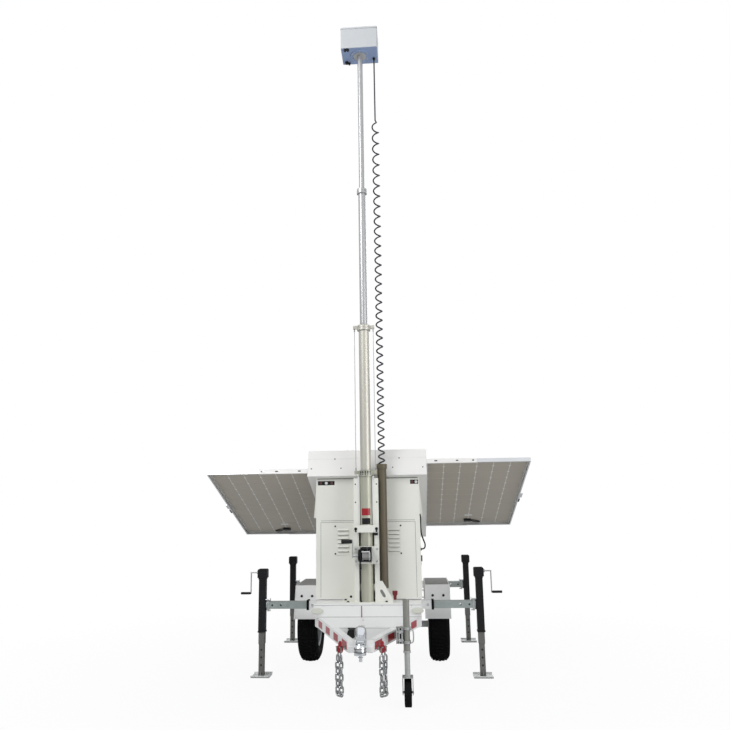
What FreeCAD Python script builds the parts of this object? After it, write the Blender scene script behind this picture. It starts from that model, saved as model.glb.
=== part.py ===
import FreeCAD, Part
import math
import os

# Mobile solar mast trailer, about 6 m tall with the mast up, standing on its four jacks.
# Millimetres. X points to the trailer's right as seen from its drawbar, Y to its rear, Z up.
# Sections are drawn with the axle at y = 0; put() then moves all of it so that the
# trailer is centred on the origin, which lies on the ground.

V = FreeCAD.Vector
X_DIR, Y_DIR, Z_DIR = V(1, 0, 0), V(0, 1, 0), V(0, 0, 1)
SIDES = (("left", -1), ("right", 1))
os.makedirs("parts", exist_ok=True)

FIT = 0.3        # gap between pieces that seat on each other
SLIDE = 0.5      # gap of a sliding sleeve, each side
SWING = 6.0      # gap round a swinging door

# Wheels, axle and springs
TYRE_R, TYRE_W, SHOULDER = 325.0, 188.0, 32.0
RIM_R, RIM_BORE, RIM_W, WELL_SIDES = 186.0, 177.0, 136.0, 24
TRACK_HALF = 602.0
DISC_X, DISC_T, HUB_R, HUB_REACH, CAP_R, CAP_REACH = 10.0, 6.0, 60.0, 45.0, 30.0, 40.0
SLOT_COUNT, SLOT_IN_R, SLOT_OUT_R, SLOT_TURN = 8, 100.0, 140.0, 11.0
NUT_COUNT, NUT_PITCH_R, NUT_R, NUT_H = 5, 46.0, 12.0, 12.0
STUB_R, STUB_LEN, STUB_GAP = 20.0, 50.0, 0.05
AXLE_SIDE = 50.0
SPRING_X, SPRING_W, LEAF_T, LEAF_COUNT = 415.0, 50.0, 8.0, 3
SPRING_HALF, EYE_Z, EYE_R = 300.0, 492.0, 17.0
SPRING_SEAT, SPRING_SEAT_HALF, HANGER_HALF, LEAF_STEP = 12.0, 60.0, 22.0, 0.25

# Chassis
RAIL_X, RAIL_W, RAIL_T = 440.0, 50.0, 5.0
RAIL_Z, RAIL_H = 530.0, 110.0
RAIL_FRONT, RAIL_REAR = -770.0, 962.0
RAIL_TOP = RAIL_Z + RAIL_H
MEMBER_W, MEMBER_H = 60.0, 80.0
MEMBER_YS = (-180.0, 180.0, 520.0)
PLATFORM_FRONT, SHEET_T = -996.0, 6.0
BEAM_W, BEAM_H, BEAM_T = 50.0, 80.0, 5.0
BEAM_NOSE_X, BEAM_NOSE_Y, BEAM_END_Y = 94.0, -1715.0, -900.0
BEAM_SPREAD = 0.425           # outward run of a drawbar beam for each unit rearward
BEAM_FALL = 0.0575            # drop of a beam for each unit ahead of the platform
DECK_T, DECK_FRONT, DECK_LIP = 5.0, -1329.0, 92.0

# Coupler, plug, chains
COUPLER_Y, COUPLER_R, COUPLER_Z, COUPLER_H = -1768.0, 42.0, 402.0, 50.0
BALL_R, BALL_BORE_LEN = 25.7, 30.0
SHANK_W, SHANK_H, SHANK_REAR, SHANK_STEP = 70.0, 66.0, -1580.0, 4.0
HEAD_PLATE_Z, HEAD_PLATE_TOP, HEAD_PLATE_T, HEAD_PLATE_CUT = 407.0, 450.0, 8.0, 8.0
DOME_R, DOME_H = 24.0, 26.0
LATCH_NUT_Y, LATCH_NUT_Z, LATCH_NUT_R, LATCH_NUT_H, LATCH_ROD_R = 39.7, 350.0, 13.0, 28.0, 5.0
LEVER_HALF, LEVER_LINE = 24.0, ((25, 470), (60, 470), (125, 560), (170, 560), (170, 570), (118, 572))
PLUG_X, PLUG_Z, PLUG_R, PLUG_LEN, PLUG_WALL, PLUG_DEPTH, PLUG_SIDES = -95.0, 474.0, 33.0, 52.0, 6.0, 38.0, 12
LINK_LEN, LINK_W, LINK_T, LINK_COUNT, LINK_CUT = 60.0, 34.0, 9.0, 7, 10.0
STRAND_HALF, BRIDGE_LEN = 27.0, 82.0
CHAIN_TOP_Z, CHAIN_Y, CHAIN_XS, CHAIN_TURN = 396.0, -1664.0, {-1: 157.0, 1: 157.0}, 45.0
TONGUE_Z = 440.0
HANGER_R, LUG_T, LUG_HALF = 5.0, 8.0, 14.0
HOOK_T, HOOK_W, HOOK_DROP = 10.0, 12.0, 64.0

# Jockey wheel
JOCKEY_X, JOCKEY_Y = 323.0, -1550.0
JOCKEY_R, JOCKEY_T, JOCKEY_Z0, JOCKEY_Z1 = 24.0, 3.0, 375.0, 730.0
JOCKEY_WHEEL_R, JOCKEY_WHEEL_W, JOCKEY_TRAIL = 98.0, 56.0, 45.0
JOCKEY_CLAMP_Z, JOCKEY_CLAMP_H, JOCKEY_BAND_H, JOCKEY_CLAMP_T = 440.0, 110.0, 16.0, 6.0
CLAMP_FLANGE_T, CLAMP_ARM_H, CLAMP_IN, CLAMP_HALF, CLAMP_MARGIN = 8.0, 62.0, 76.0, 30.0, 22.0
JOCKEY_CAP_H, JOCKEY_CAP_RIM, JOCKEY_CRANK, JOCKEY_CRANK_W, JOCKEY_CRANK_T = 10.0, 2.0, 78.0, 16.0, 6.0
JOCKEY_GRIP_R, JOCKEY_GRIP_LEN = 11.0, 62.0
ROLLER_HUB_R, ROLLER_RUBBER_W, PIN_R = 26.0, 46.0, 8.0
CROWN_GAP, CROWN_T, CROWN_FRONT, CROWN_REAR, STEM_R, STEM_H, FORK_T = 10.0, 6.0, 26.0, 20.0, 26.0, 14.0, 5.0
FORK_TIP, FORK_LOW, JOCKEY_LEG_GAP, JOCKEY_LEG_LEN = 18.0, 16.0, 1.0, 330.0

# Jacks and their arms
JACK_X = 943.5
JACK_YS = (("front", -618.5, -1), ("rear", 912.0, 1))
ARM_Z, ARM_SIDE, ARM_T, ARM_END, ARM_INNER = 584.0, 60.0, 4.0, 896.0, 250.0
RECEIVER_T, RECEIVER_END = 4.0, 530.0
JACK_SIDE, JACK_T, JACK_Z0, JACK_Z1 = 60.0, 3.0, 360.0, 812.0
HEAD_W, HEAD_D, HEAD_TOP, HEAD_CUT = 84.0, 75.0, 887.0, 8.0
SWIVEL_R, SWIVEL_T = 42.0, 8.0
SLEEVE_Z, SLEEVE_LEN, LEG_TOP_Z, DROP_SIDE = 265.0, 200.0, 505.0, 46.0
LEG_HOLE_R, LEG_HOLE_Z, LEG_HOLE_PITCH, LEG_HOLES = 8.0, 95.0, 62.0, 3
FOOT_W, FOOT_T, FOOT_CURL = 160.0, 8.0, 18.0
CRANK_Z, CRANK_OUT, CRANK_DROP, CRANK_R, GRIP_LEN, GRIP_R = 856.0, 68.0, 174.0, 4.5, 88.0, 9.5
CRANK_FOLDED = 32.0           # reach of a rear crank, folded behind its jack
ARM_HOLE_R, ARM_HOLE_IN = 9.0, 120.0

# Fenders
FENDER_IN, FENDER_OUT, FENDER_TOP, FENDER_LOW = 477.0, 705.0, 710.0, 430.0
FENDER_FLAT, FENDER_REACH, FENDER_T, FENDER_SKIRT = 300.0, 400.0, 4.0, 32.0
STAY_Y, STAY_HALF, STAY_T, STAY_DROP, STAY_REACH = 270.0, 20.0, 6.0, 46.0, 22.0

# Cabinet
CAB_X, CAB_FRONT, CAB_Z = 451.0, -767.5, 650.0
CAB_INSET = 49.1              # from the housing's rear edge to the cabinet's
WALL = 30.0
FLOOR_T = 18.0
DOOR_Y0, DOOR_Y1, DOOR_Z0, DOOR_Z1, DOOR_T = -350.0, 450.0, 780.0, 1050.0, 26.0
HINGE_R, HINGE_OUT, HINGE_LEN, HINGE_LEAF, HINGE_LEAF_T = 7.0, 7.5, 34.0, 40.0, 3.0
KNUCKLE_GAP, LEAF_GAP = 1.0, 2.0
HINGE_ZS = (835.0, 995.0)
LOUVRE_X, LOUVRE_Z0, LOUVRE_Z1, LOUVRE_T = 292.0, 1008.0, 1262.0, 4.0
LOUVRE_SPANS = ((-262.0, -167.0), (-123.0, -76.0), (86.0, 133.0), (176.0, 271.0))
VENT_RIM = 22.0
SLOT_H, SLOT_PITCH, SLOT_ROWS, SLOT_TOP = 16.0, 35.0, 6, 1215.0
BLADE_T, BLADE_OUT, BLADE_RISE = 6.0, 12.0, 10.0
TOP_SLOTS, TOP_SLOT_Z0, TOP_SLOT_Z1 = ((-436.0, -288.0), (375.0, 444.0)), 1602.0, 1638.0
HOOD_Y0, HOOD_Y1, HOOD_Z0, HOOD_Z1, HOOD_OUT, HOOD_T = -720.0, -470.0, 1320.0, 1625.0, 25.0, 4.0
HOOD_LIP, HOOD_DROP = 20.0, 12.0
BATTERY_X, BATTERY_Y0, BATTERY_Y1, BATTERY_H = 300.0, -100.0, 420.0, 280.0

# Panel housing, tilted with its low side to the rear
TILT = 20.57
HOUSE_Y, HOUSE_Z = -821.0, 1679.0
HOUSE_X, HOUSE_LEN, HOUSE_H, HOUSE_T = 522.5, 1677.0, 243.0, 4.0
HOUSE_SPLIT = 160.0
PANEL_L, PANEL_W, PANEL_T, PANEL_S = 1640.0, 910.0, 35.0, 9.0
PANEL_REACH = 1426.4
LEFT_LEVEL, RIGHT_LEVEL = 37.0, 111.0
PANEL_LEVELS = {-1: LEFT_LEVEL, 1: RIGHT_LEVEL}
PANEL_LIP, GLASS_T, GLASS_DROP = 11.0, 5.0, 1.0
HANDLE_S, HANDLE_LEN, HANDLE_OUT, HANDLE_LIFT, HANDLE_T = 800.0, 100.0, 30.0, 14.0, 5.0
CATCH_LEN, CATCH_OUT, CATCH_H = 80.0, 12.0, 22.0
SLIDE_GRIP, SLIDE_LEN, SLIDE_REACH, SLIDE_T, SLOT_ROOM = 10.0, 930.0, 962.0, 2.5, 5.0
LEDGE_W, LEDGE_T = 46.0, 3.0

# Mast
MAST_Y = -930.0
TUBE_RS = (51.5, 46.0, 33.5, 25.0)
TUBE_T = 4.0
COLLAR_TOPS = (1714.0, 2997.0, 4315.0)
COLLAR_H, COLLAR_OUT, COLLAR_GAP, RING_H = 44.0, 12.0, 1.0, 40.0
OVERLAP = 150.0
MAST_FOOT = 345.0
EAR_X, EAR_W, EAR_H = 96.0, 24.0, 30.0
WIRE_X, WIRE_R = 84.0, 3.0
HEAD_Z, HEAD_H, HEAD_X, HEAD_Y = 5729.0, 225.0, 175.5, 125.5
HEAD_FLANGE_R, HEAD_FLANGE_T = 62.0, 12.0
CHANNEL_X, CHANNEL_T, CHANNEL_TOP, LIP_X, LIP_Y = 70.0, 5.0, 1650.0, 105.0, -950.0
SADDLE_ZS, SADDLE_H = (760.0, 1232.0, 1610.0), 50.0
STRAP_X, STRAP_T, STRAP_H, ROD_X, ROD_R = 100.0, 8.0, 60.0, 87.0, 6.0
FOOT_PLATE_X, FOOT_PLATE_T, FOOT_PLATE_REACH = 215.0, 8.0, 34.0
GUSSET_TOP_X, GUSSET_TOP_Z, GUSSET_T, GUSSET_EDGE = 126.0, 811.0, 6.0, 22.0
GUSSET_SLOT_X, GUSSET_SLOT_Z, GUSSET_SLOT_HALF, GUSSET_SLOT_R = 128.0, 712.0, 34.0, 12.0
WINCH_PLATE_Z0, WINCH_PLATE_Z1, WINCH_T = 950.0, 1091.0, 5.0
WINCH_X, WINCH_Z0, WINCH_Z1, WINCH_DEPTH, WINCH_BAR_R, WINCH_BAR_IN = 45.0, 968.0, 1086.0, 100.0, 5.0, 10.0
WINCH_AXIS_Z, DRUM_R, FLANGE_R, FLANGE_T, GEAR_R, GEAR_T = 1020.0, 22.0, 40.0, 4.0, 48.0, 10.0
WINCH_ARM_X, WINCH_ARM_W, WINCH_GRIP_Z, WINCH_GRIP_X, WINCH_GRIP_R = -108.0, 24.0, 1133.0, -203.0, 15.0

# Cable beside the mast
CABLE_X, CABLE_Y = 135.0, -885.0
CONDUIT_R, CONDUIT_BORE, CONDUIT_Z0, CONDUIT_Z1, MOUTH_R, MOUTH_H = 39.0, 35.0, 750.0, 1770.0, 46.0, 40.0
CONDUIT_FLOOR = 5.0
COIL_R, COIL_Z0, LEAD_LEN, CABLE_R = 31.0, 780.0, 679.0, 5.0
CLIP_ZS, CLIP_H, CLIP_T = (900.0, 1450.0), 30.0, 8.0

# Lamps
TAIL_Z, TAIL_W, TAIL_H, TAIL_T = 585.0, 90.0, 90.0, 28.0
MARKER_X, MARKER_Z, MARKER_W, MARKER_H, MARKER_T = 408.0, 585.0, 60.0, 26.0, 14.0

CAB_REAR = HOUSE_Y + HOUSE_LEN * math.cos(math.radians(TILT)) - CAB_INSET
NOSE = COUPLER_Y - COUPLER_R
TAIL = JACK_YS[1][1] + FOOT_W / 2
AXLE_Y = -(NOSE + TAIL) / 2


# Shape helpers

def box(x0, x1, y0, y1, z0, z1):
    return Part.makeBox(x1 - x0, y1 - y0, z1 - z0, V(x0, y0, z0))


def rod(start, axis, radius, length):
    return Part.makeCylinder(radius, length, V(*start), axis)


def pipe(start, axis, radius, bore, length):
    return rod(start, axis, radius, length).cut(rod(start, axis, bore, length))


def faceted(start, axis, radius, length, sides=6):
    # a small rod or hole with flat sides
    x, y, z = start
    turns = [2 * math.pi * (k + 0.5) / sides for k in range(sides)]
    flat = [(radius * math.cos(t), radius * math.sin(t)) for t in turns]
    if axis == X_DIR:
        return prism([(x, y + a, z + b) for a, b in flat], (length, 0, 0))
    if axis == Y_DIR:
        return prism([(x + a, y, z + b) for a, b in flat], (0, length, 0))
    return prism([(x + a, y + b, z) for a, b in flat], (0, 0, length))


def prism(points, run):
    wire = Part.makePolygon([V(*p) for p in points + points[:1]])
    return Part.Face(wire).extrude(V(*run))


def fuse(shapes):
    whole = shapes[0]
    for shape in shapes[1:]:
        whole = whole.fuse(shape)
    return whole.removeSplitter()


def mirrored(shape):
    return shape.mirror(V(0, 0, 0), X_DIR)


def on_side(shape, side):
    return shape if side > 0 else mirrored(shape)


def tilted(shape):
    # from the housing's own frame (x, along the slope, off the slope) to the trailer's
    out = shape.copy()
    out.rotate(V(0, 0, 0), X_DIR, -TILT)
    out.translate(V(0, HOUSE_Y, HOUSE_Z))
    return out


def roof_z(y):
    # height of the slope on which the housing sits
    return HOUSE_Z - math.tan(math.radians(TILT)) * (y - HOUSE_Y)


def put(name, shapes):
    whole = shapes[0] if len(shapes) == 1 else Part.makeCompound(shapes)
    whole = whole.copy()
    whole.translate(V(0, AXLE_Y, 0))
    whole.exportStep("parts/" + name + ".step")


# Wheels

def turned(profile, x):
    # solid of revolution about the wheel's axis, from (along, out) points
    wire = Part.makePolygon([V(x + a, 0, TYRE_R + r) for a, r in profile + profile[:1]])
    return Part.Face(wire).revolve(V(x, 0, TYRE_R), X_DIR, 360)


def round_wheel(x, radius, degrees):
    turn = math.radians(degrees)
    return (x, radius * math.sin(turn), TYRE_R + radius * math.cos(turn))


def rim_shape(x):
    half = RIM_W / 2
    face = DISC_X + DISC_T
    wheel = rod((x - half, 0, TYRE_R), X_DIR, RIM_R, RIM_W)
    for start, end in ((-half, DISC_X), (face, half)):
        wheel = wheel.cut(faceted((x + start, 0, TYRE_R), X_DIR, RIM_BORE, end - start, WELL_SIDES))
    hub = rod((x - HUB_REACH, 0, TYRE_R), X_DIR, HUB_R, HUB_REACH + face)
    cap = faceted((x + face, 0, TYRE_R), X_DIR, CAP_R, CAP_REACH - face, WELL_SIDES)
    wheel = fuse([wheel, hub, cap])
    for k in range(SLOT_COUNT):
        middle = 360 * k / SLOT_COUNT
        corners = [(SLOT_IN_R, -SLOT_TURN), (SLOT_OUT_R, -SLOT_TURN), (SLOT_OUT_R, SLOT_TURN),
                   (SLOT_IN_R, SLOT_TURN)]
        slot = prism([round_wheel(x, r, middle + turn) for r, turn in corners], (CAP_REACH, 0, 0))
        wheel = wheel.cut(slot)
    nuts = []
    for k in range(NUT_COUNT):
        nuts.append(faceted(round_wheel(x + face, NUT_PITCH_R, 360 * k / NUT_COUNT), X_DIR, NUT_R, NUT_H))
    wheel = fuse([wheel] + nuts)
    return wheel.cut(rod((x - HUB_REACH, 0, TYRE_R), X_DIR, STUB_R + STUB_GAP, STUB_LEN + FIT))


def tyre_shape(x):
    half = TYRE_W / 2
    right = [(half, RIM_R + FIT), (half, TYRE_R - SHOULDER), (half - SHOULDER, TYRE_R)]
    return turned(right + [(-a, r) for a, r in right[::-1]], x)


for name, side in SIDES:
    put("rim_" + name, [on_side(rim_shape(TRACK_HALF), side)])
    put("tyre_" + name, [on_side(tyre_shape(TRACK_HALF), side)])

# Axle and leaf springs

axle_top = TYRE_R + AXLE_SIDE / 2
hub_inner = TRACK_HALF - HUB_REACH
beam_half = hub_inner - FIT
axle = [box(-beam_half, beam_half, -AXLE_SIDE / 2, AXLE_SIDE / 2, TYRE_R - AXLE_SIDE / 2, axle_top)]
for _, side in SIDES:
    axle.append(on_side(rod((beam_half, 0, TYRE_R), X_DIR, STUB_R, STUB_LEN), side))
    seat = box(SPRING_X - SPRING_W / 2, SPRING_X + SPRING_W / 2, -SPRING_SEAT_HALF, SPRING_SEAT_HALF,
               axle_top, axle_top + SPRING_SEAT)
    axle.append(on_side(seat, side))
put("axle", [fuse(axle)])


def leaf(count_from_top):
    # one leaf as an arc of flat bar, shorter the lower it lies
    low = axle_top + SPRING_SEAT + LEAF_T * (LEAF_COUNT - 1 - count_from_top)
    rise = EYE_Z - EYE_R - (axle_top + SPRING_SEAT + LEAF_T * (LEAF_COUNT - 1))
    radius = (SPRING_HALF ** 2 + rise ** 2) / (2 * rise)
    centre_z = low + radius
    half_turn = math.asin(SPRING_HALF * (1 - LEAF_STEP * count_from_top) / radius)
    points = []
    for r in (radius, radius - LEAF_T):
        arc = [(r * math.sin(a), centre_z - r * math.cos(a)) for a in (-half_turn, 0, half_turn)]
        points.append([V(SPRING_X - SPRING_W / 2, y, z) for y, z in arc])
    low_arc, high_arc = points
    edges = [Part.Arc(*low_arc).toShape(), Part.LineSegment(low_arc[2], high_arc[2]).toShape(),
             Part.Arc(*high_arc[::-1]).toShape(), Part.LineSegment(high_arc[0], low_arc[0]).toShape()]
    return Part.Face(Part.Wire(edges)).extrude(V(SPRING_W, 0, 0))


def spring():
    x0 = SPRING_X - SPRING_W / 2
    pieces = [leaf(k) for k in range(LEAF_COUNT)]
    for y in (-SPRING_HALF, SPRING_HALF):
        pieces.append(faceted((x0, y, EYE_Z), X_DIR, EYE_R, SPRING_W, 8))
        pieces.append(box(x0, x0 + SPRING_W, y - HANGER_HALF, y + HANGER_HALF, EYE_Z, RAIL_Z))
    return fuse(pieces)


put("leaf_springs", [on_side(spring(), side) for _, side in SIDES])

# Chassis rails and cross members

receiver_half = ARM_SIDE / 2 + SLIDE + RECEIVER_T
receiver_bore = ARM_SIDE / 2 + SLIDE


def square_bar(y, z, half, x0, x1):
    return box(x0, x1, y - half, y + half, z - half, z + half)


def rail():
    solid = box(RAIL_X - RAIL_W, RAIL_X, RAIL_FRONT, RAIL_REAR, RAIL_Z, RAIL_TOP)
    hollow = box(RAIL_X - RAIL_W, RAIL_X - RAIL_T, RAIL_FRONT, RAIL_REAR, RAIL_Z + RAIL_T, RAIL_TOP - RAIL_T)
    out = solid.cut(hollow)
    for _, y, _ in JACK_YS:
        out = out.cut(square_bar(y, ARM_Z, receiver_half, 0, RAIL_X))
    return out


put("side_rails", [on_side(rail(), side) for _, side in SIDES])

members = []
for _, y, _ in JACK_YS:
    tube = square_bar(y, ARM_Z, receiver_half, -RECEIVER_END, RECEIVER_END)
    members.append(tube.cut(square_bar(y, ARM_Z, receiver_bore, -RECEIVER_END, RECEIVER_END)))
for y in MEMBER_YS:
    span = RAIL_X - RAIL_W
    solid = box(-span, span, y - MEMBER_W / 2, y + MEMBER_W / 2, RAIL_TOP - MEMBER_H, RAIL_TOP)
    hollow = box(-span, span, y - MEMBER_W / 2 + RAIL_T, y + MEMBER_W / 2,
                 RAIL_TOP - MEMBER_H + RAIL_T, RAIL_TOP - RAIL_T)
    members.append(solid.cut(hollow))
put("cross_members", members)

# Front platform and deck

mast_hole = TUBE_RS[0] + FIT
platform = box(-RAIL_X, RAIL_X, PLATFORM_FRONT, RAIL_FRONT, RAIL_Z, RAIL_TOP)
platform = platform.cut(box(-RAIL_X + SHEET_T, RAIL_X - SHEET_T, PLATFORM_FRONT + SHEET_T,
                            RAIL_FRONT - SHEET_T, RAIL_Z, RAIL_TOP - SHEET_T))
platform = platform.cut(rod((0, MAST_Y, RAIL_Z), Z_DIR, mast_hole, RAIL_H))
beam_slant = BEAM_W * math.hypot(1, BEAM_SPREAD)


def beam_x(y):
    # outer face of a drawbar beam
    return BEAM_NOSE_X + BEAM_SPREAD * (y - BEAM_NOSE_Y)


def beam_y(x):
    # where a beam's outer face reaches this far out
    return BEAM_NOSE_Y + (x - BEAM_NOSE_X) / BEAM_SPREAD


def beam_top(y):
    # level under the platform, falling ahead of it
    return RAIL_Z - BEAM_FALL * max(0.0, PLATFORM_FRONT - y)


deck_corners = [(side * beam_x(y), y, beam_top(y)) for side, y in
                ((-1, PLATFORM_FRONT), (1, PLATFORM_FRONT), (1, DECK_FRONT), (-1, DECK_FRONT))]
deck = prism(deck_corners, (0, 0, DECK_T))
lip_x = beam_x(DECK_FRONT) - beam_slant - SWING
lip_top = beam_top(DECK_FRONT)
deck_lip = box(-lip_x, lip_x, DECK_FRONT, DECK_FRONT + DECK_T, lip_top - DECK_LIP, lip_top + DECK_T / 2)
put("front_platform", [platform, fuse([deck, deck_lip])])


def drawbar_beam():
    # a box section with a closed nose
    def length(y0, y1, inset):
        out, thick = beam_x(y0) - inset, beam_slant - 2 * inset
        low, top = beam_top(y0) - BEAM_H + inset, beam_top(y0) - inset
        end = [(out, y0, low), (out, y0, top), (out - thick, y0, top), (out - thick, y0, low)]
        return prism(end, (beam_x(y1) - beam_x(y0), y1 - y0, beam_top(y1) - beam_top(y0)))

    def tube(y0, inset):
        return fuse([length(y0, PLATFORM_FRONT, inset), length(PLATFORM_FRONT, BEAM_END_Y, inset)])
    return tube(BEAM_NOSE_Y, 0).cut(tube(BEAM_NOSE_Y + BEAM_T, BEAM_T))


head_right = [(BEAM_NOSE_X, HEAD_PLATE_TOP), (BEAM_NOSE_X, HEAD_PLATE_Z + HEAD_PLATE_CUT),
              (BEAM_NOSE_X - HEAD_PLATE_CUT, HEAD_PLATE_Z)]
head_corners = head_right + [(-x, z) for x, z in head_right[::-1]]
head_plate = prism([(x, BEAM_NOSE_Y - HEAD_PLATE_T, z) for x, z in head_corners], (0, HEAD_PLATE_T, 0))
head_floor = box(-SHANK_W / 2, SHANK_W / 2, BEAM_NOSE_Y - HEAD_PLATE_T, SHANK_REAR,
                 HEAD_PLATE_TOP - HEAD_PLATE_T, HEAD_PLATE_TOP)
put("drawbar", [fuse([head_plate, head_floor] + [on_side(drawbar_beam(), side) for _, side in SIDES])])

# Coupler

shank = box(-SHANK_W / 2, SHANK_W / 2, BEAM_NOSE_Y - HEAD_PLATE_T - SHANK_STEP, SHANK_REAR, HEAD_PLATE_TOP,
            HEAD_PLATE_TOP + SHANK_H)
throat = box(-SHANK_W / 2, SHANK_W / 2, COUPLER_Y, BEAM_NOSE_Y - HEAD_PLATE_T, COUPLER_Z + HEAD_PLATE_T,
             HEAD_PLATE_TOP + SHANK_H / 2)
socket = rod((0, COUPLER_Y, COUPLER_Z), Z_DIR, COUPLER_R, COUPLER_H)
dome = Part.makeCone(COUPLER_R, DOME_R, DOME_H, V(0, COUPLER_Y, COUPLER_Z + COUPLER_H), Z_DIR)
lever = prism([(-LEVER_HALF, COUPLER_Y + y, z) for y, z in LEVER_LINE], (2 * LEVER_HALF, 0, 0))
bore = rod((0, COUPLER_Y, COUPLER_Z), Z_DIR, BALL_R, BALL_BORE_LEN)
nut_y = COUPLER_Y + LATCH_NUT_Y
nut_rod = faceted((0, nut_y, LATCH_NUT_Z), Z_DIR, LATCH_ROD_R,
                  COUPLER_Z + SHANK_STEP + HEAD_PLATE_T - LATCH_NUT_Z)
nut = faceted((0, nut_y, LATCH_NUT_Z), Z_DIR, LATCH_NUT_R, LATCH_NUT_H)
put("coupler", [fuse([shank, throat, socket, dome, lever, nut_rod, nut]).cut(bore)])

# Plug holder on the deck's lip

plug_back = DECK_FRONT - FIT
plug = faceted((PLUG_X, plug_back - PLUG_LEN, PLUG_Z), Y_DIR, PLUG_R, PLUG_LEN, PLUG_SIDES)
plug_bore = faceted((PLUG_X, plug_back - PLUG_LEN, PLUG_Z), Y_DIR, PLUG_R - PLUG_WALL, PLUG_DEPTH, PLUG_SIDES)
put("trailer_plug", [plug.cut(plug_bore)])

# Safety chains, each hung double from a shackle under its drawbar beam


def link(at, length, lie):
    # a flat ring of bar with cut corners: lie says which way its long axis and its face point
    x, y, z = at
    half, long_half, wide_half = LINK_T / 2, length / 2, LINK_W / 2
    right = [(wide_half - LINK_CUT, -long_half), (wide_half, LINK_CUT - long_half),
             (wide_half, long_half - LINK_CUT), (wide_half - LINK_CUT, long_half)]
    ring = right + [(-a, b) for a, b in right[::-1]]
    hole_wide, hole_long = wide_half - LINK_T, long_half - LINK_T
    hole = [(hole_wide, -hole_long), (hole_wide, hole_long), (-hole_wide, hole_long),
            (-hole_wide, -hole_long)]

    def slab(flat):
        if lie == "down, facing x":
            return prism([(x - half, y + a, z + b) for a, b in flat], (LINK_T, 0, 0))
        if lie == "down, facing y":
            return prism([(x + a, y - half, z + b) for a, b in flat], (0, LINK_T, 0))
        return prism([(x + b, y - half, z + a) for a, b in flat], (0, LINK_T, 0))
    return slab(ring).cut(slab(hole))


def hook_shape(x, y, z):
    # a bar hook hung over the hanger rod, open to the front
    over, low = HANGER_R + FIT, HOOK_W - HOOK_DROP
    line = [(HOOK_W, HOOK_W), (-HOOK_W, HOOK_W), (-HOOK_W, over), (over, over), (over, low + HOOK_W),
            (-2 * HOOK_W, low + HOOK_W), (-HOOK_W, low), (HOOK_W, low)]
    return prism([(x - HOOK_T / 2, y + a, z + b) for a, b in line], (HOOK_T, 0, 0))


chains = []
link_pitch = LINK_LEN - 2 * LINK_T - FIT
strand_lies = ("down, facing x", "down, facing y")
lug_y0, lug_y1, lug_z = CHAIN_Y - LUG_HALF, CHAIN_Y + LUG_HALF, TONGUE_Z - LUG_T
for _, side in SIDES:
    x = side * CHAIN_XS[side]
    hang_z = CHAIN_TOP_Z + LINK_LEN / 2 - LINK_T - FIT - HANGER_R
    hanger_half = STRAND_HALF + LINK_W / 2 + LUG_T
    hanger = [faceted((x - hanger_half, CHAIN_Y, hang_z), X_DIR, HANGER_R, 2 * hanger_half)]
    for end in (x - hanger_half, x + hanger_half - LUG_T):
        hanger.append(box(end, end + LUG_T, lug_y0, lug_y1, hang_z - LUG_HALF, TONGUE_Z))
    hanger.append(box(x - hanger_half, x + hanger_half, lug_y0, lug_y1, lug_z, TONGUE_Z))
    pieces = [fuse(hanger)]
    for strand in (-STRAND_HALF, STRAND_HALF):
        for k in range(LINK_COUNT):
            at = (x + strand, CHAIN_Y, CHAIN_TOP_Z - k * link_pitch)
            pieces.append(link(at, LINK_LEN, strand_lies[k % 2]))
    low_z = CHAIN_TOP_Z - (LINK_COUNT - 1) * link_pitch - LINK_LEN / 2 + LINK_T / 2
    pieces.append(link((x, CHAIN_Y, low_z), BRIDGE_LEN, "across, facing y"))
    pieces.append(hook_shape(x, CHAIN_Y, hang_z))
    for piece in pieces:
        piece.rotate(V(x, CHAIN_Y, 0), Z_DIR, side * CHAIN_TURN)
    root = [(side * beam_x(y), y, lug_z) for y in (lug_y0, lug_y1)]
    tongue = prism(root + [(x, lug_y1, lug_z), (x, lug_y0, lug_z)], (0, 0, LUG_T))
    chains += [fuse([pieces[0], tongue])] + pieces[1:]
put("safety_chains", chains)

# Jockey wheel

clamp_top = JOCKEY_CLAMP_Z + JOCKEY_CLAMP_H
tube = pipe((JOCKEY_X, JOCKEY_Y, JOCKEY_Z0), Z_DIR, JOCKEY_R, JOCKEY_R - JOCKEY_T, JOCKEY_Z1 - JOCKEY_Z0)
cap = faceted((JOCKEY_X, JOCKEY_Y, JOCKEY_Z1), Z_DIR, JOCKEY_R + JOCKEY_CAP_RIM, JOCKEY_CAP_H, 12)
clamp_half = JOCKEY_R + JOCKEY_CLAMP_T
bands = []
for z in (JOCKEY_CLAMP_Z, clamp_top - JOCKEY_BAND_H):
    band = box(JOCKEY_X - clamp_half, JOCKEY_X + clamp_half, JOCKEY_Y - clamp_half, JOCKEY_Y + clamp_half,
               z, z + JOCKEY_BAND_H)
    bands.append(band.cut(rod((JOCKEY_X, JOCKEY_Y, z), Z_DIR, JOCKEY_R - JOCKEY_T, JOCKEY_BAND_H)))
reach_x0, reach_x1 = JOCKEY_X - CLAMP_IN, JOCKEY_X - JOCKEY_R + JOCKEY_T / 2
reach_y0, reach_y1 = beam_y(reach_x0), beam_y(reach_x1)
clamp_front = JOCKEY_Y - CLAMP_HALF
post = box(reach_x0, reach_x1, clamp_front, JOCKEY_Y + CLAMP_HALF, JOCKEY_CLAMP_Z, clamp_top)
reach = prism([(x, y, JOCKEY_CLAMP_Z) for x, y in
               ((reach_x0, clamp_front), (reach_x1, clamp_front), (reach_x1, reach_y1), (reach_x0, reach_y0))],
              (0, 0, CLAMP_ARM_H))
flange_y0, flange_y1 = reach_y0 - CLAMP_MARGIN, reach_y1 + CLAMP_MARGIN
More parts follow.
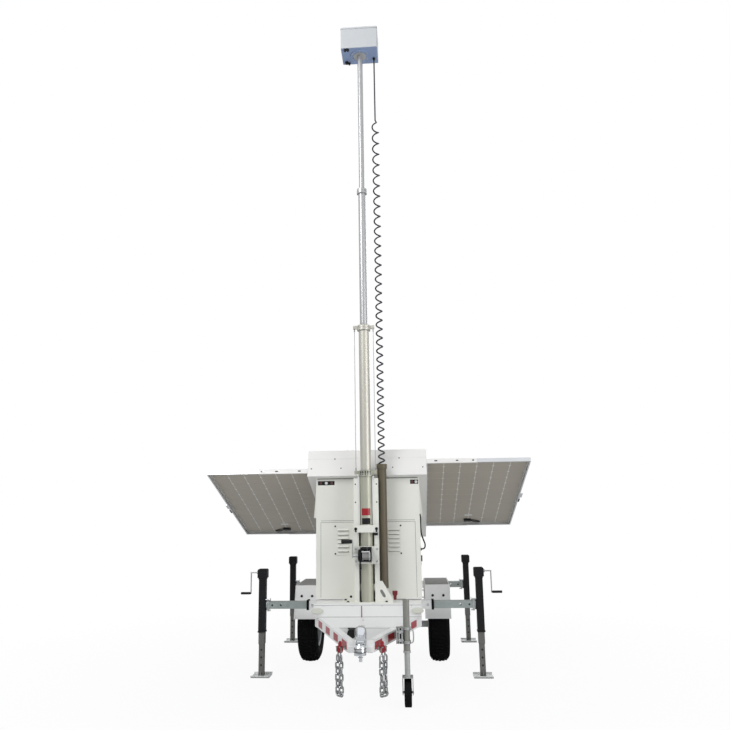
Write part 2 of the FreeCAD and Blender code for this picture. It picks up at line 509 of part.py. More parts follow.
flange_line = ((flange_y0, 0), (flange_y1, 0), (flange_y1, CLAMP_FLANGE_T), (flange_y0, CLAMP_FLANGE_T))
flange = prism([(beam_x(y) + out, y, JOCKEY_CLAMP_Z) for y, out in flange_line], (0, 0, CLAMP_ARM_H))
crank_z = JOCKEY_Z1 + JOCKEY_CAP_H
half_arm = JOCKEY_CRANK_W / 2
crank_arm = box(JOCKEY_X - JOCKEY_CRANK, JOCKEY_X, JOCKEY_Y - half_arm, JOCKEY_Y + half_arm,
                crank_z, crank_z + JOCKEY_CRANK_T)
crank_grip = faceted((JOCKEY_X - JOCKEY_CRANK, JOCKEY_Y, crank_z), Z_DIR, JOCKEY_GRIP_R, JOCKEY_GRIP_LEN, 8)
put("jockey_tube", [fuse([tube, cap, reach, post, flange, crank_arm, crank_grip] + bands)])

crown_z = 2 * JOCKEY_WHEEL_R + CROWN_GAP
leg_r = JOCKEY_R - JOCKEY_T - JOCKEY_LEG_GAP
leg = rod((JOCKEY_X, JOCKEY_Y, crown_z + STEM_H + FIT), Z_DIR, leg_r, JOCKEY_LEG_LEN)
put("jockey_leg", [leg])

fork_half = JOCKEY_WHEEL_W / 2 + SWING
wheel_y = JOCKEY_Y + JOCKEY_TRAIL
crown = box(JOCKEY_X - fork_half - FORK_T, JOCKEY_X + fork_half + FORK_T, JOCKEY_Y - CROWN_FRONT,
            wheel_y + CROWN_REAR, crown_z, crown_z + CROWN_T)
stem = faceted((JOCKEY_X, JOCKEY_Y, crown_z), Z_DIR, STEM_R, STEM_H, 12)
fork = [crown, stem]
fork_top, fork_low = crown_z + CROWN_T / 2, JOCKEY_WHEEL_R - FORK_LOW
fork_side = [(JOCKEY_Y - CROWN_FRONT, fork_top), (wheel_y + CROWN_REAR, fork_top),
             (wheel_y + FORK_TIP, fork_low), (wheel_y - FORK_TIP, fork_low)]
for x0 in (JOCKEY_X - fork_half - FORK_T, JOCKEY_X + fork_half):
    fork.append(prism([(x0, y, z) for y, z in fork_side], (FORK_T, 0, 0)))
pin_x = JOCKEY_X - fork_half - PIN_R
pin = faceted((pin_x, wheel_y, JOCKEY_WHEEL_R), X_DIR, PIN_R, 2 * (fork_half + PIN_R), 8)
put("jockey_fork", [fuse(fork + [pin])])

rubber_x, hub_x = JOCKEY_X - ROLLER_RUBBER_W / 2, JOCKEY_X - JOCKEY_WHEEL_W / 2
rubber = rod((rubber_x, wheel_y, JOCKEY_WHEEL_R), X_DIR, JOCKEY_WHEEL_R, ROLLER_RUBBER_W)
hub = faceted((hub_x, wheel_y, JOCKEY_WHEEL_R), X_DIR, ROLLER_HUB_R, JOCKEY_WHEEL_W, 12)
roller = fuse([rubber, hub])
roller = roller.cut(rod((hub_x, wheel_y, JOCKEY_WHEEL_R), X_DIR, PIN_R + STUB_GAP, JOCKEY_WHEEL_W))
put("jockey_wheel", [roller])

# Jacks: an arm that slides in its receiver, a tube that swivels on it, a leg that slides in the tube


def arm_shape(y):
    tube = square_bar(y, ARM_Z, ARM_SIDE / 2, ARM_INNER, ARM_END)
    tube = tube.cut(square_bar(y, ARM_Z, ARM_SIDE / 2 - ARM_T, ARM_INNER, ARM_END - ARM_T))
    disc = rod((ARM_END, y, ARM_Z), X_DIR, SWIVEL_R, SWIVEL_T)
    hole = faceted((ARM_END - ARM_HOLE_IN, y - ARM_SIDE, ARM_Z), Y_DIR, ARM_HOLE_R, 2 * ARM_SIDE)
    return fuse([tube, disc]).cut(hole)


def square_post(x, y, side, z0, z1):
    return box(x - side / 2, x + side / 2, y - side / 2, y + side / 2, z0, z1)


def jack_shape(y, end):
    plate_x = ARM_END + SWIVEL_T + FIT
    side_x = JACK_X - JACK_SIDE / 2
    ear = SWIVEL_R * math.tan(math.radians(22.5))
    corners = [(ear, SWIVEL_R), (-ear, SWIVEL_R), (-SWIVEL_R, ear), (-SWIVEL_R, -ear), (-ear, -SWIVEL_R),
               (ear, -SWIVEL_R), (SWIVEL_R, -ear), (SWIVEL_R, ear)]
    plate = prism([(plate_x, y + a, ARM_Z + b) for a, b in corners], (side_x - plate_x, 0, 0))
    tube = square_post(JACK_X, y, JACK_SIDE, JACK_Z0, JACK_Z1)
    tube = tube.cut(square_post(JACK_X, y, JACK_SIDE - 2 * JACK_T, JACK_Z0, JACK_Z1))
    half_w, half_d, top = HEAD_W / 2, HEAD_D / 2, HEAD_TOP
    right = [(half_w, JACK_Z1), (half_w, top - HEAD_CUT), (half_w - HEAD_CUT, top)]
    front = right + [(-a, z) for a, z in right[::-1]]
    head = prism([(JACK_X + a, y - half_d, z) for a, z in front], (0, HEAD_D, 0))
    grip_z, drop_len = CRANK_Z - CRANK_DROP, CRANK_DROP + CRANK_R
    if end == "front":
        drop_x = JACK_X + half_w + CRANK_OUT - CRANK_R
        shaft = faceted((JACK_X + half_w, y, CRANK_Z), X_DIR, CRANK_R, CRANK_OUT)
        drop = faceted((drop_x, y, grip_z), Z_DIR, CRANK_R, drop_len)
        grip = faceted((drop_x, y, grip_z), X_DIR, GRIP_R, GRIP_LEN, 8)
    else:
        drop_y = y + half_d + CRANK_FOLDED - CRANK_R
        shaft = faceted((JACK_X, y + half_d, CRANK_Z), Y_DIR, CRANK_R, CRANK_FOLDED)
        drop = faceted((JACK_X, drop_y, grip_z), Z_DIR, CRANK_R, drop_len)
        grip = faceted((JACK_X, drop_y, grip_z - GRIP_LEN), Z_DIR, GRIP_R, GRIP_LEN, 8)
    return fuse([plate, tube, head, shaft, drop, grip])


def leg_shape(y):
    sleeve_side = JACK_SIDE - 2 * JACK_T - 2 * SLIDE
    sleeve = square_post(JACK_X, y, sleeve_side, SLEEVE_Z, SLEEVE_Z + SLEEVE_LEN)
    drop = square_post(JACK_X, y, DROP_SIDE, FOOT_T, LEG_TOP_Z)
    half, curl = FOOT_W / 2, FOOT_CURL
    rear = [(half - curl, FOOT_T), (half - FOOT_T / 2, curl + FOOT_T / 2), (half, curl), (half - curl, 0)]
    outline = rear + [(-a, z) for a, z in rear[::-1]]
    foot = prism([(JACK_X - half, y + a, z) for a, z in outline], (FOOT_W, 0, 0))
    leg = fuse([sleeve, drop, foot])
    for k in range(LEG_HOLES):
        at = (JACK_X, y - sleeve_side, LEG_HOLE_Z + LEG_HOLE_PITCH * k)
        leg = leg.cut(faceted(at, Y_DIR, LEG_HOLE_R, 2 * sleeve_side))
    return leg


for end, y, _ in JACK_YS:
    for name, side in SIDES:
        put("arm_" + end + "_" + name, [on_side(arm_shape(y), side)])
        put("jack_" + end + "_" + name, [on_side(jack_shape(y, end), side)])
        put("leg_" + end + "_" + name, [on_side(leg_shape(y), side)])

# Fenders


def fender():
    run = (FENDER_OUT - FENDER_IN, 0, 0)

    def arch(inset):
        slope = (FENDER_REACH - FENDER_FLAT) / (FENDER_TOP - FENDER_LOW)
        side_inset = inset * math.hypot(1, slope)
        corner = FENDER_FLAT - inset * (math.hypot(1, slope) - slope)
        reach = FENDER_REACH - side_inset
        return [(-reach, FENDER_LOW), (-corner, FENDER_TOP - inset), (corner, FENDER_TOP - inset),
                (reach, FENDER_LOW)]
    outer = prism([(FENDER_IN, y, z) for y, z in arch(0)], run)
    shell = outer.cut(prism([(FENDER_IN, y, z) for y, z in arch(FENDER_T)], run))
    skirt = prism([(FENDER_OUT - FENDER_T, y, z) for y, z in arch(0)], (FENDER_T, 0, 0))
    skirt = skirt.cut(prism([(FENDER_OUT - FENDER_T, y, z) for y, z in arch(FENDER_SKIRT)], (FENDER_T, 0, 0)))
    stays = []
    stay_z = RAIL_TOP - STAY_DROP
    for y in (-STAY_Y, STAY_Y):
        y0, y1 = y - STAY_HALF, y + STAY_HALF
        stays.append(box(RAIL_X, FENDER_IN + STAY_REACH, y0, y1, stay_z, stay_z + STAY_T))
        stays.append(box(FENDER_IN, FENDER_IN + STAY_T, y0, y1, stay_z, FENDER_TOP - FENDER_T / 2))
    return fuse([shell, skirt] + stays)


for name, side in SIDES:
    put("fender_" + name, [on_side(fender(), side)])

# Cabinet


def under_roof(y0, y1, x0, x1, z0, drop):
    return prism([(x0, y0, z0), (x0, y1, z0), (x0, y1, roof_z(y1) - drop), (x0, y0, roof_z(y0) - drop)],
                 (x1 - x0, 0, 0))


front_wall = under_roof(CAB_FRONT, CAB_FRONT + WALL, -CAB_X, CAB_X, CAB_Z, 0)
vent_hole = box(-LOUVRE_X + VENT_RIM, LOUVRE_X - VENT_RIM, CAB_FRONT, CAB_FRONT + WALL,
                LOUVRE_Z0 + VENT_RIM, LOUVRE_Z1 - VENT_RIM)
front_wall = front_wall.cut(vent_hole)
for x0, x1 in TOP_SLOTS:
    front_wall = front_wall.cut(box(x0, x1, CAB_FRONT, CAB_FRONT + WALL, TOP_SLOT_Z0, TOP_SLOT_Z1))


def side_wall():
    wall = under_roof(CAB_FRONT + WALL, CAB_REAR - WALL, CAB_X - WALL, CAB_X, CAB_Z, 0)
    wall = wall.cut(box(CAB_X - WALL, CAB_X, DOOR_Y0, DOOR_Y1, DOOR_Z0, DOOR_Z1))
    knuckles = []
    for z in HINGE_ZS:
        barrel = faceted((CAB_X + HINGE_OUT, DOOR_Y1, z + KNUCKLE_GAP), Z_DIR, HINGE_R,
                         HINGE_LEN / 2 - KNUCKLE_GAP, 8)
        leaf_plate = box(CAB_X, CAB_X + HINGE_LEAF_T, DOOR_Y1 + LEAF_GAP, DOOR_Y1 + HINGE_LEAF,
                         z + KNUCKLE_GAP, z + HINGE_LEN / 2)
        knuckles += [barrel, leaf_plate]
    return fuse([wall] + knuckles)


def door():
    panel = box(CAB_X - DOOR_T, CAB_X, DOOR_Y0 + SWING, DOOR_Y1 - SWING, DOOR_Z0 + SWING, DOOR_Z1 - SWING)
    parts = [panel]
    for z in HINGE_ZS:
        parts.append(rod((CAB_X + HINGE_OUT, DOOR_Y1, z - HINGE_LEN / 2), Z_DIR, HINGE_R, HINGE_LEN / 2))
        parts.append(box(CAB_X, CAB_X + HINGE_LEAF_T, DOOR_Y1 - HINGE_LEAF, DOOR_Y1 - LEAF_GAP,
                         z - HINGE_LEN / 2, z))
    return fuse(parts)


def hood():
    def wedge(inset):
        out = CAB_X + HOOD_OUT - inset
        return [(CAB_X, HOOD_Z1 - 2 * inset), (out, HOOD_Z0 + HOOD_LIP - inset), (out, HOOD_Z0 - inset),
                (CAB_X, HOOD_Z0 - inset)]
    length = HOOD_Y1 - HOOD_Y0
    outer = prism([(x, HOOD_Y0, z) for x, z in wedge(0)], (0, length, 0))
    inner = prism([(x, HOOD_Y0 + HOOD_T, z) for x, z in wedge(HOOD_T)], (0, length - 2 * HOOD_T, 0))
    keep = under_roof(HOOD_Y0, HOOD_Y1, 0, 2 * CAB_X, 0, HOOD_DROP)
    return outer.cut(inner).common(keep)


for name, side in SIDES:
    put("cabinet_" + name, [on_side(fuse([side_wall(), hood()]), side)])
    put("door_" + name, [on_side(door(), side)])

rear_wall = under_roof(CAB_REAR - WALL, CAB_REAR, -CAB_X, CAB_X, CAB_Z, 0)
put("cabinet_rear", [rear_wall])
inner_x = CAB_X - WALL
put("cabinet_floor", [box(-inner_x, inner_x, CAB_FRONT + WALL, CAB_REAR - WALL, CAB_Z, CAB_Z + FLOOR_T)])

vent = box(-LOUVRE_X, LOUVRE_X, CAB_FRONT - LOUVRE_T, CAB_FRONT, LOUVRE_Z0, LOUVRE_Z1)
blades = []
blade_y = CAB_FRONT - LOUVRE_T
for x0, x1 in LOUVRE_SPANS:
    for k in range(SLOT_ROWS):
        z = SLOT_TOP - k * SLOT_PITCH
        vent = vent.cut(box(x0, x1, blade_y, CAB_FRONT, z - SLOT_H / 2, z + SLOT_H / 2))
        top = z + SLOT_H / 2
        blades.append(prism([(x0, blade_y, top + BLADE_T), (x0, blade_y - BLADE_OUT, top - BLADE_RISE),
                             (x0, blade_y, top)], (x1 - x0, 0, 0)))
put("cabinet_front", [fuse([front_wall, vent] + blades)])

battery = box(-BATTERY_X, BATTERY_X, BATTERY_Y0, BATTERY_Y1, CAB_Z + FLOOR_T, CAB_Z + FLOOR_T + BATTERY_H)
put("battery_bank", [battery])

# Panel housing, in its own tilted frame

rail_room = SLIDE + SLIDE_T


def rail_span(side):
    # lowest and highest face of the channels that grip a panel
    level = PANEL_LEVELS[side]
    return level - rail_room, level + PANEL_T + rail_room


inner = HOUSE_X - HOUSE_T
house = box(-HOUSE_X, HOUSE_X, 0, HOUSE_LEN, 0, HOUSE_SPLIT)
house = house.cut(box(-inner, inner, HOUSE_T, HOUSE_LEN - HOUSE_T, HOUSE_T, HOUSE_SPLIT))
for _, side in SIDES:
    low, high = rail_span(side)
    x0, x1 = sorted((side * (HOUSE_X - HOUSE_T), side * HOUSE_X))
    house = house.cut(box(x0, x1, HOUSE_T, HOUSE_LEN - HOUSE_T, low - SLOT_ROOM, high + SLOT_ROOM))
for _, side in SIDES:
    ledge_top = rail_span(side)[0] - FIT
    for s0 in (HOUSE_T, HOUSE_LEN - HOUSE_T - LEDGE_W):
        house = house.fuse(box(-inner, inner, s0, s0 + LEDGE_W, ledge_top - LEDGE_T, ledge_top))
put("housing_base", [tilted(house.removeSplitter())])

cover = box(-HOUSE_X, HOUSE_X, 0, HOUSE_LEN, HOUSE_SPLIT, HOUSE_H)
cover = cover.cut(box(-inner, inner, HOUSE_T, HOUSE_LEN - HOUSE_T, HOUSE_SPLIT, HOUSE_H - HOUSE_T))
put("housing_cover", [tilted(cover)])


def panel_pieces(side):
    level = PANEL_LEVELS[side]
    x1, x0 = PANEL_REACH, PANEL_REACH - PANEL_W
    s0, s1 = PANEL_S, PANEL_S + PANEL_L
    frame = box(x0, x1, s0, s1, level, level + PANEL_T)

    def inside(low, high):
        return box(x0 + PANEL_LIP, x1 - PANEL_LIP, s0 + PANEL_LIP, s1 - PANEL_LIP, low, high)
    frame = frame.cut(inside(level, level + PANEL_T))
    handle = box(x1, x1 + HANDLE_OUT, HANDLE_S, HANDLE_S + HANDLE_LEN, level + HANDLE_LIFT,
                 level + HANDLE_LIFT + HANDLE_T)
    catch_s = HANDLE_S + HANDLE_LEN
    catch = box(x1, x1 + CATCH_OUT, catch_s, catch_s + CATCH_LEN, level, level + CATCH_H)
    frame = fuse([frame, handle, catch])
    glass_top = level + PANEL_T - GLASS_DROP
    return frame, inside(glass_top - GLASS_T, glass_top)


def slide_pieces(side):
    # channels that grip the front and rear edge of a panel frame
    low, high = rail_span(side)
    x1, x0 = SLIDE_REACH, SLIDE_REACH - SLIDE_LEN
    out = []
    for edge, way in ((PANEL_S, -1), (PANEL_S + PANEL_L, 1)):
        inner_edge = edge - way * SLIDE_GRIP
        s0, s1 = sorted((edge + way * rail_room, inner_edge))
        g0, g1 = sorted((edge + way * SLIDE, inner_edge))
        bar = box(x0, x1, s0, s1, low, high)
        out.append(bar.cut(box(x0, x1, g0, g1, low + SLIDE_T, high - SLIDE_T)))
    return out


for name, side in SIDES:
    frame, glass = panel_pieces(side)
    put("panel_frame_" + name, [on_side(tilted(frame), side)])
    put("panel_glass_" + name, [on_side(tilted(glass), side)])
    put("slide_rails_" + name, [on_side(tilted(bar), side) for bar in slide_pieces(side)])

# Mast


def mast_tube(index):
    radius = TUBE_RS[index]
    bore = radius - TUBE_T
    bottom = MAST_FOOT if index == 0 else COLLAR_TOPS[index - 1] - OVERLAP
    top = COLLAR_TOPS[index] if index < 3 else HEAD_Z - HEAD_FLANGE_T
    tube = pipe((0, MAST_Y, bottom), Z_DIR, radius, bore, top - bottom)
    parts = [tube]
    if index > 0:
        ring_r = TUBE_RS[index - 1] - TUBE_T - COLLAR_GAP
        if ring_r > radius + COLLAR_GAP:
            ring = faceted((0, MAST_Y, bottom), Z_DIR, ring_r, RING_H, 12)
            parts.append(ring.cut(rod((0, MAST_Y, bottom), Z_DIR, bore, RING_H)))
    if index < 3:
        next_r = TUBE_RS[index + 1]
        collar_z = top - COLLAR_H
        parts.append(pipe((0, MAST_Y, collar_z), Z_DIR, radius + COLLAR_OUT, next_r + COLLAR_GAP, COLLAR_H))
    else:
        parts.append(rod((0, MAST_Y, top), Z_DIR, HEAD_FLANGE_R, HEAD_FLANGE_T))
    if index < 2:
        ears = box(-EAR_X, EAR_X, MAST_Y - EAR_W / 2, MAST_Y + EAR_W / 2, top - EAR_H, top)
        parts.append(ears.cut(rod((0, MAST_Y, top - EAR_H), Z_DIR, radius, EAR_H)))
    return parts


put("mast_base", [fuse(mast_tube(0))])
for index in (1, 2, 3):
    put("mast_stage_" + str(index + 1), [fuse(mast_tube(index))])

head_box = box(-HEAD_X, HEAD_X, MAST_Y - HEAD_Y, MAST_Y + HEAD_Y, HEAD_Z, HEAD_Z + HEAD_H)
head_box = head_box.makeFillet(12, [e for e in head_box.Edges if e.BoundBox.ZLength > HEAD_H / 2])
put("head_box", [head_box])

wires = []
wire_z0 = COLLAR_TOPS[0] + FIT
wire_len = COLLAR_TOPS[1] - EAR_H - FIT - wire_z0
for _, side in SIDES:
    wires.append(faceted((side * WIRE_X, MAST_Y, wire_z0), Z_DIR, WIRE_R, wire_len))
put("lift_wires", wires)

# Mast bracket: a hat channel open to the front, with saddles, a strap, a foot plate and gussets

tube_hole = TUBE_RS[0] + FIT
plate_top = RAIL_TOP + FOOT_PLATE_T
web_back = CAB_FRONT - LOUVRE_T
web_front = web_back - CHANNEL_T
inner_x = CHANNEL_X - CHANNEL_T
channel = box(-CHANNEL_X, CHANNEL_X, LIP_Y, web_back, plate_top, CHANNEL_TOP)
channel = channel.cut(box(-inner_x, inner_x, LIP_Y, web_front, plate_top, CHANNEL_TOP))
bracket = [channel]
for _, side in SIDES:
    bracket.append(on_side(box(CHANNEL_X, LIP_X, LIP_Y, LIP_Y + CHANNEL_T, plate_top, CHANNEL_TOP), side))
for z in SADDLE_ZS:
    block = box(-inner_x, inner_x, MAST_Y, web_front, z - SADDLE_H / 2, z + SADDLE_H / 2)
    bracket.append(block.cut(rod((0, MAST_Y, z - SADDLE_H), Z_DIR, tube_hole, 2 * SADDLE_H)))
for z in (SADDLE_ZS[0], SADDLE_ZS[-1]):
    bracket.append(box(-inner_x, inner_x, web_back, CAB_FRONT, z - SADDLE_H / 2, z + SADDLE_H / 2))
strap_y = MAST_Y - tube_hole - STRAP_T
strap_z = SADDLE_ZS[1]
bracket.append(box(-STRAP_X, STRAP_X, strap_y, strap_y + STRAP_T,
                   strap_z - STRAP_H / 2, strap_z + STRAP_H / 2))
for _, side in SIDES:
    bracket.append(faceted((side * ROD_X, strap_y, strap_z), Y_DIR, ROD_R, LIP_Y + CHANNEL_T / 2 - strap_y))
foot_plate = box(-FOOT_PLATE_X, FOOT_PLATE_X, LIP_Y - FOOT_PLATE_REACH, CAB_FRONT, RAIL_TOP, plate_top)
bracket.append(foot_plate.cut(rod((0, MAST_Y, RAIL_TOP), Z_DIR, tube_hole, FOOT_PLATE_T)))
foot_x = FOOT_PLATE_X - GUSSET_T
gusset = prism([(x, LIP_Y, z) for x, z in ((CHANNEL_X, plate_top), (foot_x, plate_top),
                                           (foot_x, plate_top + GUSSET_EDGE), (GUSSET_TOP_X, GUSSET_TOP_Z),
                                           (CHANNEL_X, GUSSET_TOP_Z))], (0, GUSSET_T, 0))
# the gusset's oblong slot lies along its sloping edge
edge_run = V(GUSSET_TOP_X - foot_x, 0, GUSSET_TOP_Z - plate_top - GUSSET_EDGE).normalize()
edge_off = V(edge_run.z, 0, -edge_run.x)
slot_right = [(-GUSSET_SLOT_HALF, GUSSET_SLOT_R / 2), (GUSSET_SLOT_R - GUSSET_SLOT_HALF, GUSSET_SLOT_R),
              (GUSSET_SLOT_HALF - GUSSET_SLOT_R, GUSSET_SLOT_R), (GUSSET_SLOT_HALF, GUSSET_SLOT_R / 2)]
slot_middle = V(GUSSET_SLOT_X, LIP_Y, GUSSET_SLOT_Z)
slot_flat = slot_right + [(a, -b) for a, b in slot_right[::-1]]
slot_outline = [slot_middle + edge_run * a + edge_off * b for a, b in slot_flat]
bracket.append(gusset.cut(prism(slot_outline, (0, GUSSET_T, 0))))
# plate over the mast that carries the winch
plate_back = MAST_Y - tube_hole - FIT
plate_front = plate_back - WINCH_T
bracket.append(box(-LIP_X, LIP_X, plate_front, plate_back, WINCH_PLATE_Z0, WINCH_PLATE_Z1))
for x in (-LIP_X, LIP_X - WINCH_T):
    bracket.append(box(x, x + WINCH_T, plate_front, LIP_Y, WINCH_PLATE_Z0, WINCH_PLATE_Z1))
put("mast_bracket", [fuse(bracket)])

# Winch: a U frame on that plate, with its drum, gear and crank

frame_front = plate_front - WINCH_DEPTH
winch = [box(-WINCH_X, WINCH_X, plate_front - WINCH_T, plate_front, WINCH_Z0, WINCH_Z1)]
for x in (-WINCH_X, WINCH_X - WINCH_T):
    winch.append(box(x, x + WINCH_T, frame_front, plate_front, WINCH_Z0, WINCH_Z1))
bar_y = frame_front + WINCH_BAR_IN
for z in (WINCH_Z0 + WINCH_BAR_IN, WINCH_Z1 - WINCH_BAR_IN):
    winch.append(faceted((-WINCH_X, bar_y, z), X_DIR, WINCH_BAR_R, 2 * WINCH_X))
drum_y = plate_front - WINCH_DEPTH / 2
drum_x = WINCH_X - WINCH_T
winch.append(faceted((-WINCH_X, drum_y, WINCH_AXIS_Z), X_DIR, DRUM_R, 2 * WINCH_X, 12))
for x in (2 * SWING - drum_x, drum_x - 2 * SWING - FLANGE_T):
    winch.append(faceted((x, drum_y, WINCH_AXIS_Z), X_DIR, FLANGE_R, FLANGE_T, 12))
winch.append(faceted((-WINCH_X - GEAR_T, drum_y, WINCH_AXIS_Z), X_DIR, GEAR_R, GEAR_T, 24))
shaft_x = WINCH_ARM_X - WINCH_T
winch.append(faceted((shaft_x, drum_y, WINCH_AXIS_Z), X_DIR, CRANK_R, -WINCH_X - shaft_x))
winch.append(box(shaft_x, shaft_x + WINCH_T, drum_y - WINCH_ARM_W / 2, drum_y + WINCH_ARM_W / 2,
                 WINCH_AXIS_Z - WINCH_ARM_W / 2, WINCH_GRIP_Z + WINCH_ARM_W / 2))
winch.append(faceted((WINCH_GRIP_X, drum_y, WINCH_GRIP_Z), X_DIR, WINCH_GRIP_R, shaft_x - WINCH_GRIP_X, 12))
put("mast_winch", [fuse(winch)])

# Cable conduit and the curly cable

conduit = pipe((CABLE_X, CABLE_Y, CONDUIT_Z0), Z_DIR, CONDUIT_R, CONDUIT_BORE, CONDUIT_Z1 - CONDUIT_Z0)
mouth = pipe((CABLE_X, CABLE_Y, CONDUIT_Z1 - MOUTH_H), Z_DIR, MOUTH_R, CONDUIT_BORE, MOUTH_H)
bottom = rod((CABLE_X, CABLE_Y, CONDUIT_Z0), Z_DIR, CONDUIT_R, CONDUIT_FLOOR)
clips = []
for z in CLIP_ZS:
    clip = box(CHANNEL_X, CABLE_X, CABLE_Y - CLIP_T / 2, CABLE_Y + CLIP_T / 2, z, z + CLIP_H)
    clips.append(clip.cut(rod((CABLE_X, CABLE_Y, z), Z_DIR, CONDUIT_BORE, CLIP_H)))
put("cable_conduit", [fuse([conduit, mouth, bottom] + clips)])

coil_top = HEAD_Z - LEAD_LEN
coil = rod((CABLE_X, CABLE_Y, COIL_Z0), Z_DIR, COIL_R, coil_top - COIL_Z0)
lead = rod((CABLE_X, CABLE_Y, coil_top), Z_DIR, CABLE_R, LEAD_LEN - FIT)
put("curly_cable", [fuse([coil, lead])])

# Lamps

lamps = []
for _, side in SIDES:
    x = RAIL_X - TAIL_W / 2
    tail = box(x - TAIL_W / 2, x + TAIL_W / 2, RAIL_REAR, RAIL_REAR + TAIL_T, TAIL_Z - TAIL_H / 2,
               TAIL_Z + TAIL_H / 2)
    marker = box(MARKER_X - MARKER_W / 2, MARKER_X + MARKER_W / 2, PLATFORM_FRONT - MARKER_T, PLATFORM_FRONT,
                 MARKER_Z - MARKER_H / 2, MARKER_Z + MARKER_H / 2)
    lamps += [on_side(tail, side), on_side(marker, side)]
put("lamps", lamps)
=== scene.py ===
import itertools
import math
import random

import bpy
from mathutils import Matrix, Vector


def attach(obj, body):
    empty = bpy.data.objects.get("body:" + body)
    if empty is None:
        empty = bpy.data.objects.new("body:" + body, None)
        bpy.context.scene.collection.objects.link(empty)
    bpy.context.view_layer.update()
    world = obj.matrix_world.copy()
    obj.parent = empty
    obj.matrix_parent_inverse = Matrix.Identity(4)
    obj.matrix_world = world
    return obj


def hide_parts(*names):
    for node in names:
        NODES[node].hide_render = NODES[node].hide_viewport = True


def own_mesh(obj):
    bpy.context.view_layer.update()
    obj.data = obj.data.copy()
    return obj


# Looks of the mobile solar mast trailer. Metres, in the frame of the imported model:
# X to the right seen from the drawbar, Y to the rear, Z up.

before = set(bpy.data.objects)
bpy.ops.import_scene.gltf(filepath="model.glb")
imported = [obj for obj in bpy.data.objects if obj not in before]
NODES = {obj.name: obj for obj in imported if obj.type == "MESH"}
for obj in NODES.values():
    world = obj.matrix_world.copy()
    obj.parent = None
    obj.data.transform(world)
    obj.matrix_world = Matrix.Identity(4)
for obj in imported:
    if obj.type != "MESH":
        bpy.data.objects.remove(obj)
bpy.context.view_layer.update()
SIDES = (("left", -1), ("right", 1))
CORNERS = [("%s_%s" % (end, name), y, side) for end, y in (("front", -0.2095), ("rear", 1.321))
           for name, side in SIDES]
X, Y, Z = Vector((1, 0, 0)), Vector((0, 1, 0)), Vector((0, 0, 1))
chance = random.Random(7)

AXLE_Y = 0.409
TRACK, TYRE_R = 0.602, 0.325
TILT = math.radians(20.57)
HOUSE = Vector((0, -0.412, 1.679))
HOUSE_X, HOUSE_LEN, HOUSE_SPLIT = 0.5225, 1.677, 0.16
PANEL_OUT, PANEL_W, PANEL_L, PANEL_T, PANEL_S = 1.4264, 0.91, 1.64, 0.035, 0.009
PANEL_LEVEL = {-1: 0.037, 1: 0.111}
MAST_Y = -0.521
TUBE_RS = (0.0515, 0.046, 0.0335, 0.025)
COLLAR_TOPS = (1.714, 2.997, 4.315)
COLLAR_H, COLLAR_OUT = 0.044, 0.012
HEAD_Z, HEAD_H, HEAD_X, HEAD_Y = 5.729, 0.225, 0.1755, 0.1255
CABLE_X, CABLE_Y, COIL_Z0, COIL_Z1 = 0.135, -0.476, 0.78, 5.05
CAB_X, CAB_FRONT, CAB_REAR, CAB_Z = 0.451, -0.3585, 1.109, 0.65
LOUVRE_Y, LIP_Y = -0.3625, -0.541
PLATFORM_Y, DECK_Y, NOSE_Y = -0.587, -0.92, -1.306
BEAM_TOP, BEAM_H, BEAM_NOSE_X, BEAM_SPREAD, BEAM_FALL = 0.53, 0.08, 0.094, 0.425, 0.0575
JOCKEY_X, JOCKEY_Y = 0.323, -1.141
JACK_X, ARM_Z = 0.9435, 0.584


# Shape building

def turns(count):
    # even angles round a circle
    return [2 * math.pi * k / count for k in range(count)]


def circle(across, other, count):
    # even ways out from a middle, round from across to other
    return [across * math.cos(turn) + other * math.sin(turn) for turn in turns(count)]


def tube_faces(rows, sides, closed):
    # joins rings of corners row to row, with a cap at each end unless closed
    faces = []
    for i in range(rows if closed else rows - 1):
        low, high = i * sides, (i + 1) % rows * sides
        for k in range(sides):
            faces.append((low + k, low + (k + 1) % sides, high + (k + 1) % sides, high + k))
    if not closed:
        faces.append(tuple(range(sides))[::-1])
        faces.append(tuple(range((rows - 1) * sides, rows * sides)))
    return faces


def new_object(name, data):
    made = bpy.data.objects.new(name, data)
    bpy.context.scene.collection.objects.link(made)
    return made


SHARP, BEVEL_FROM = math.radians(32), math.radians(35)


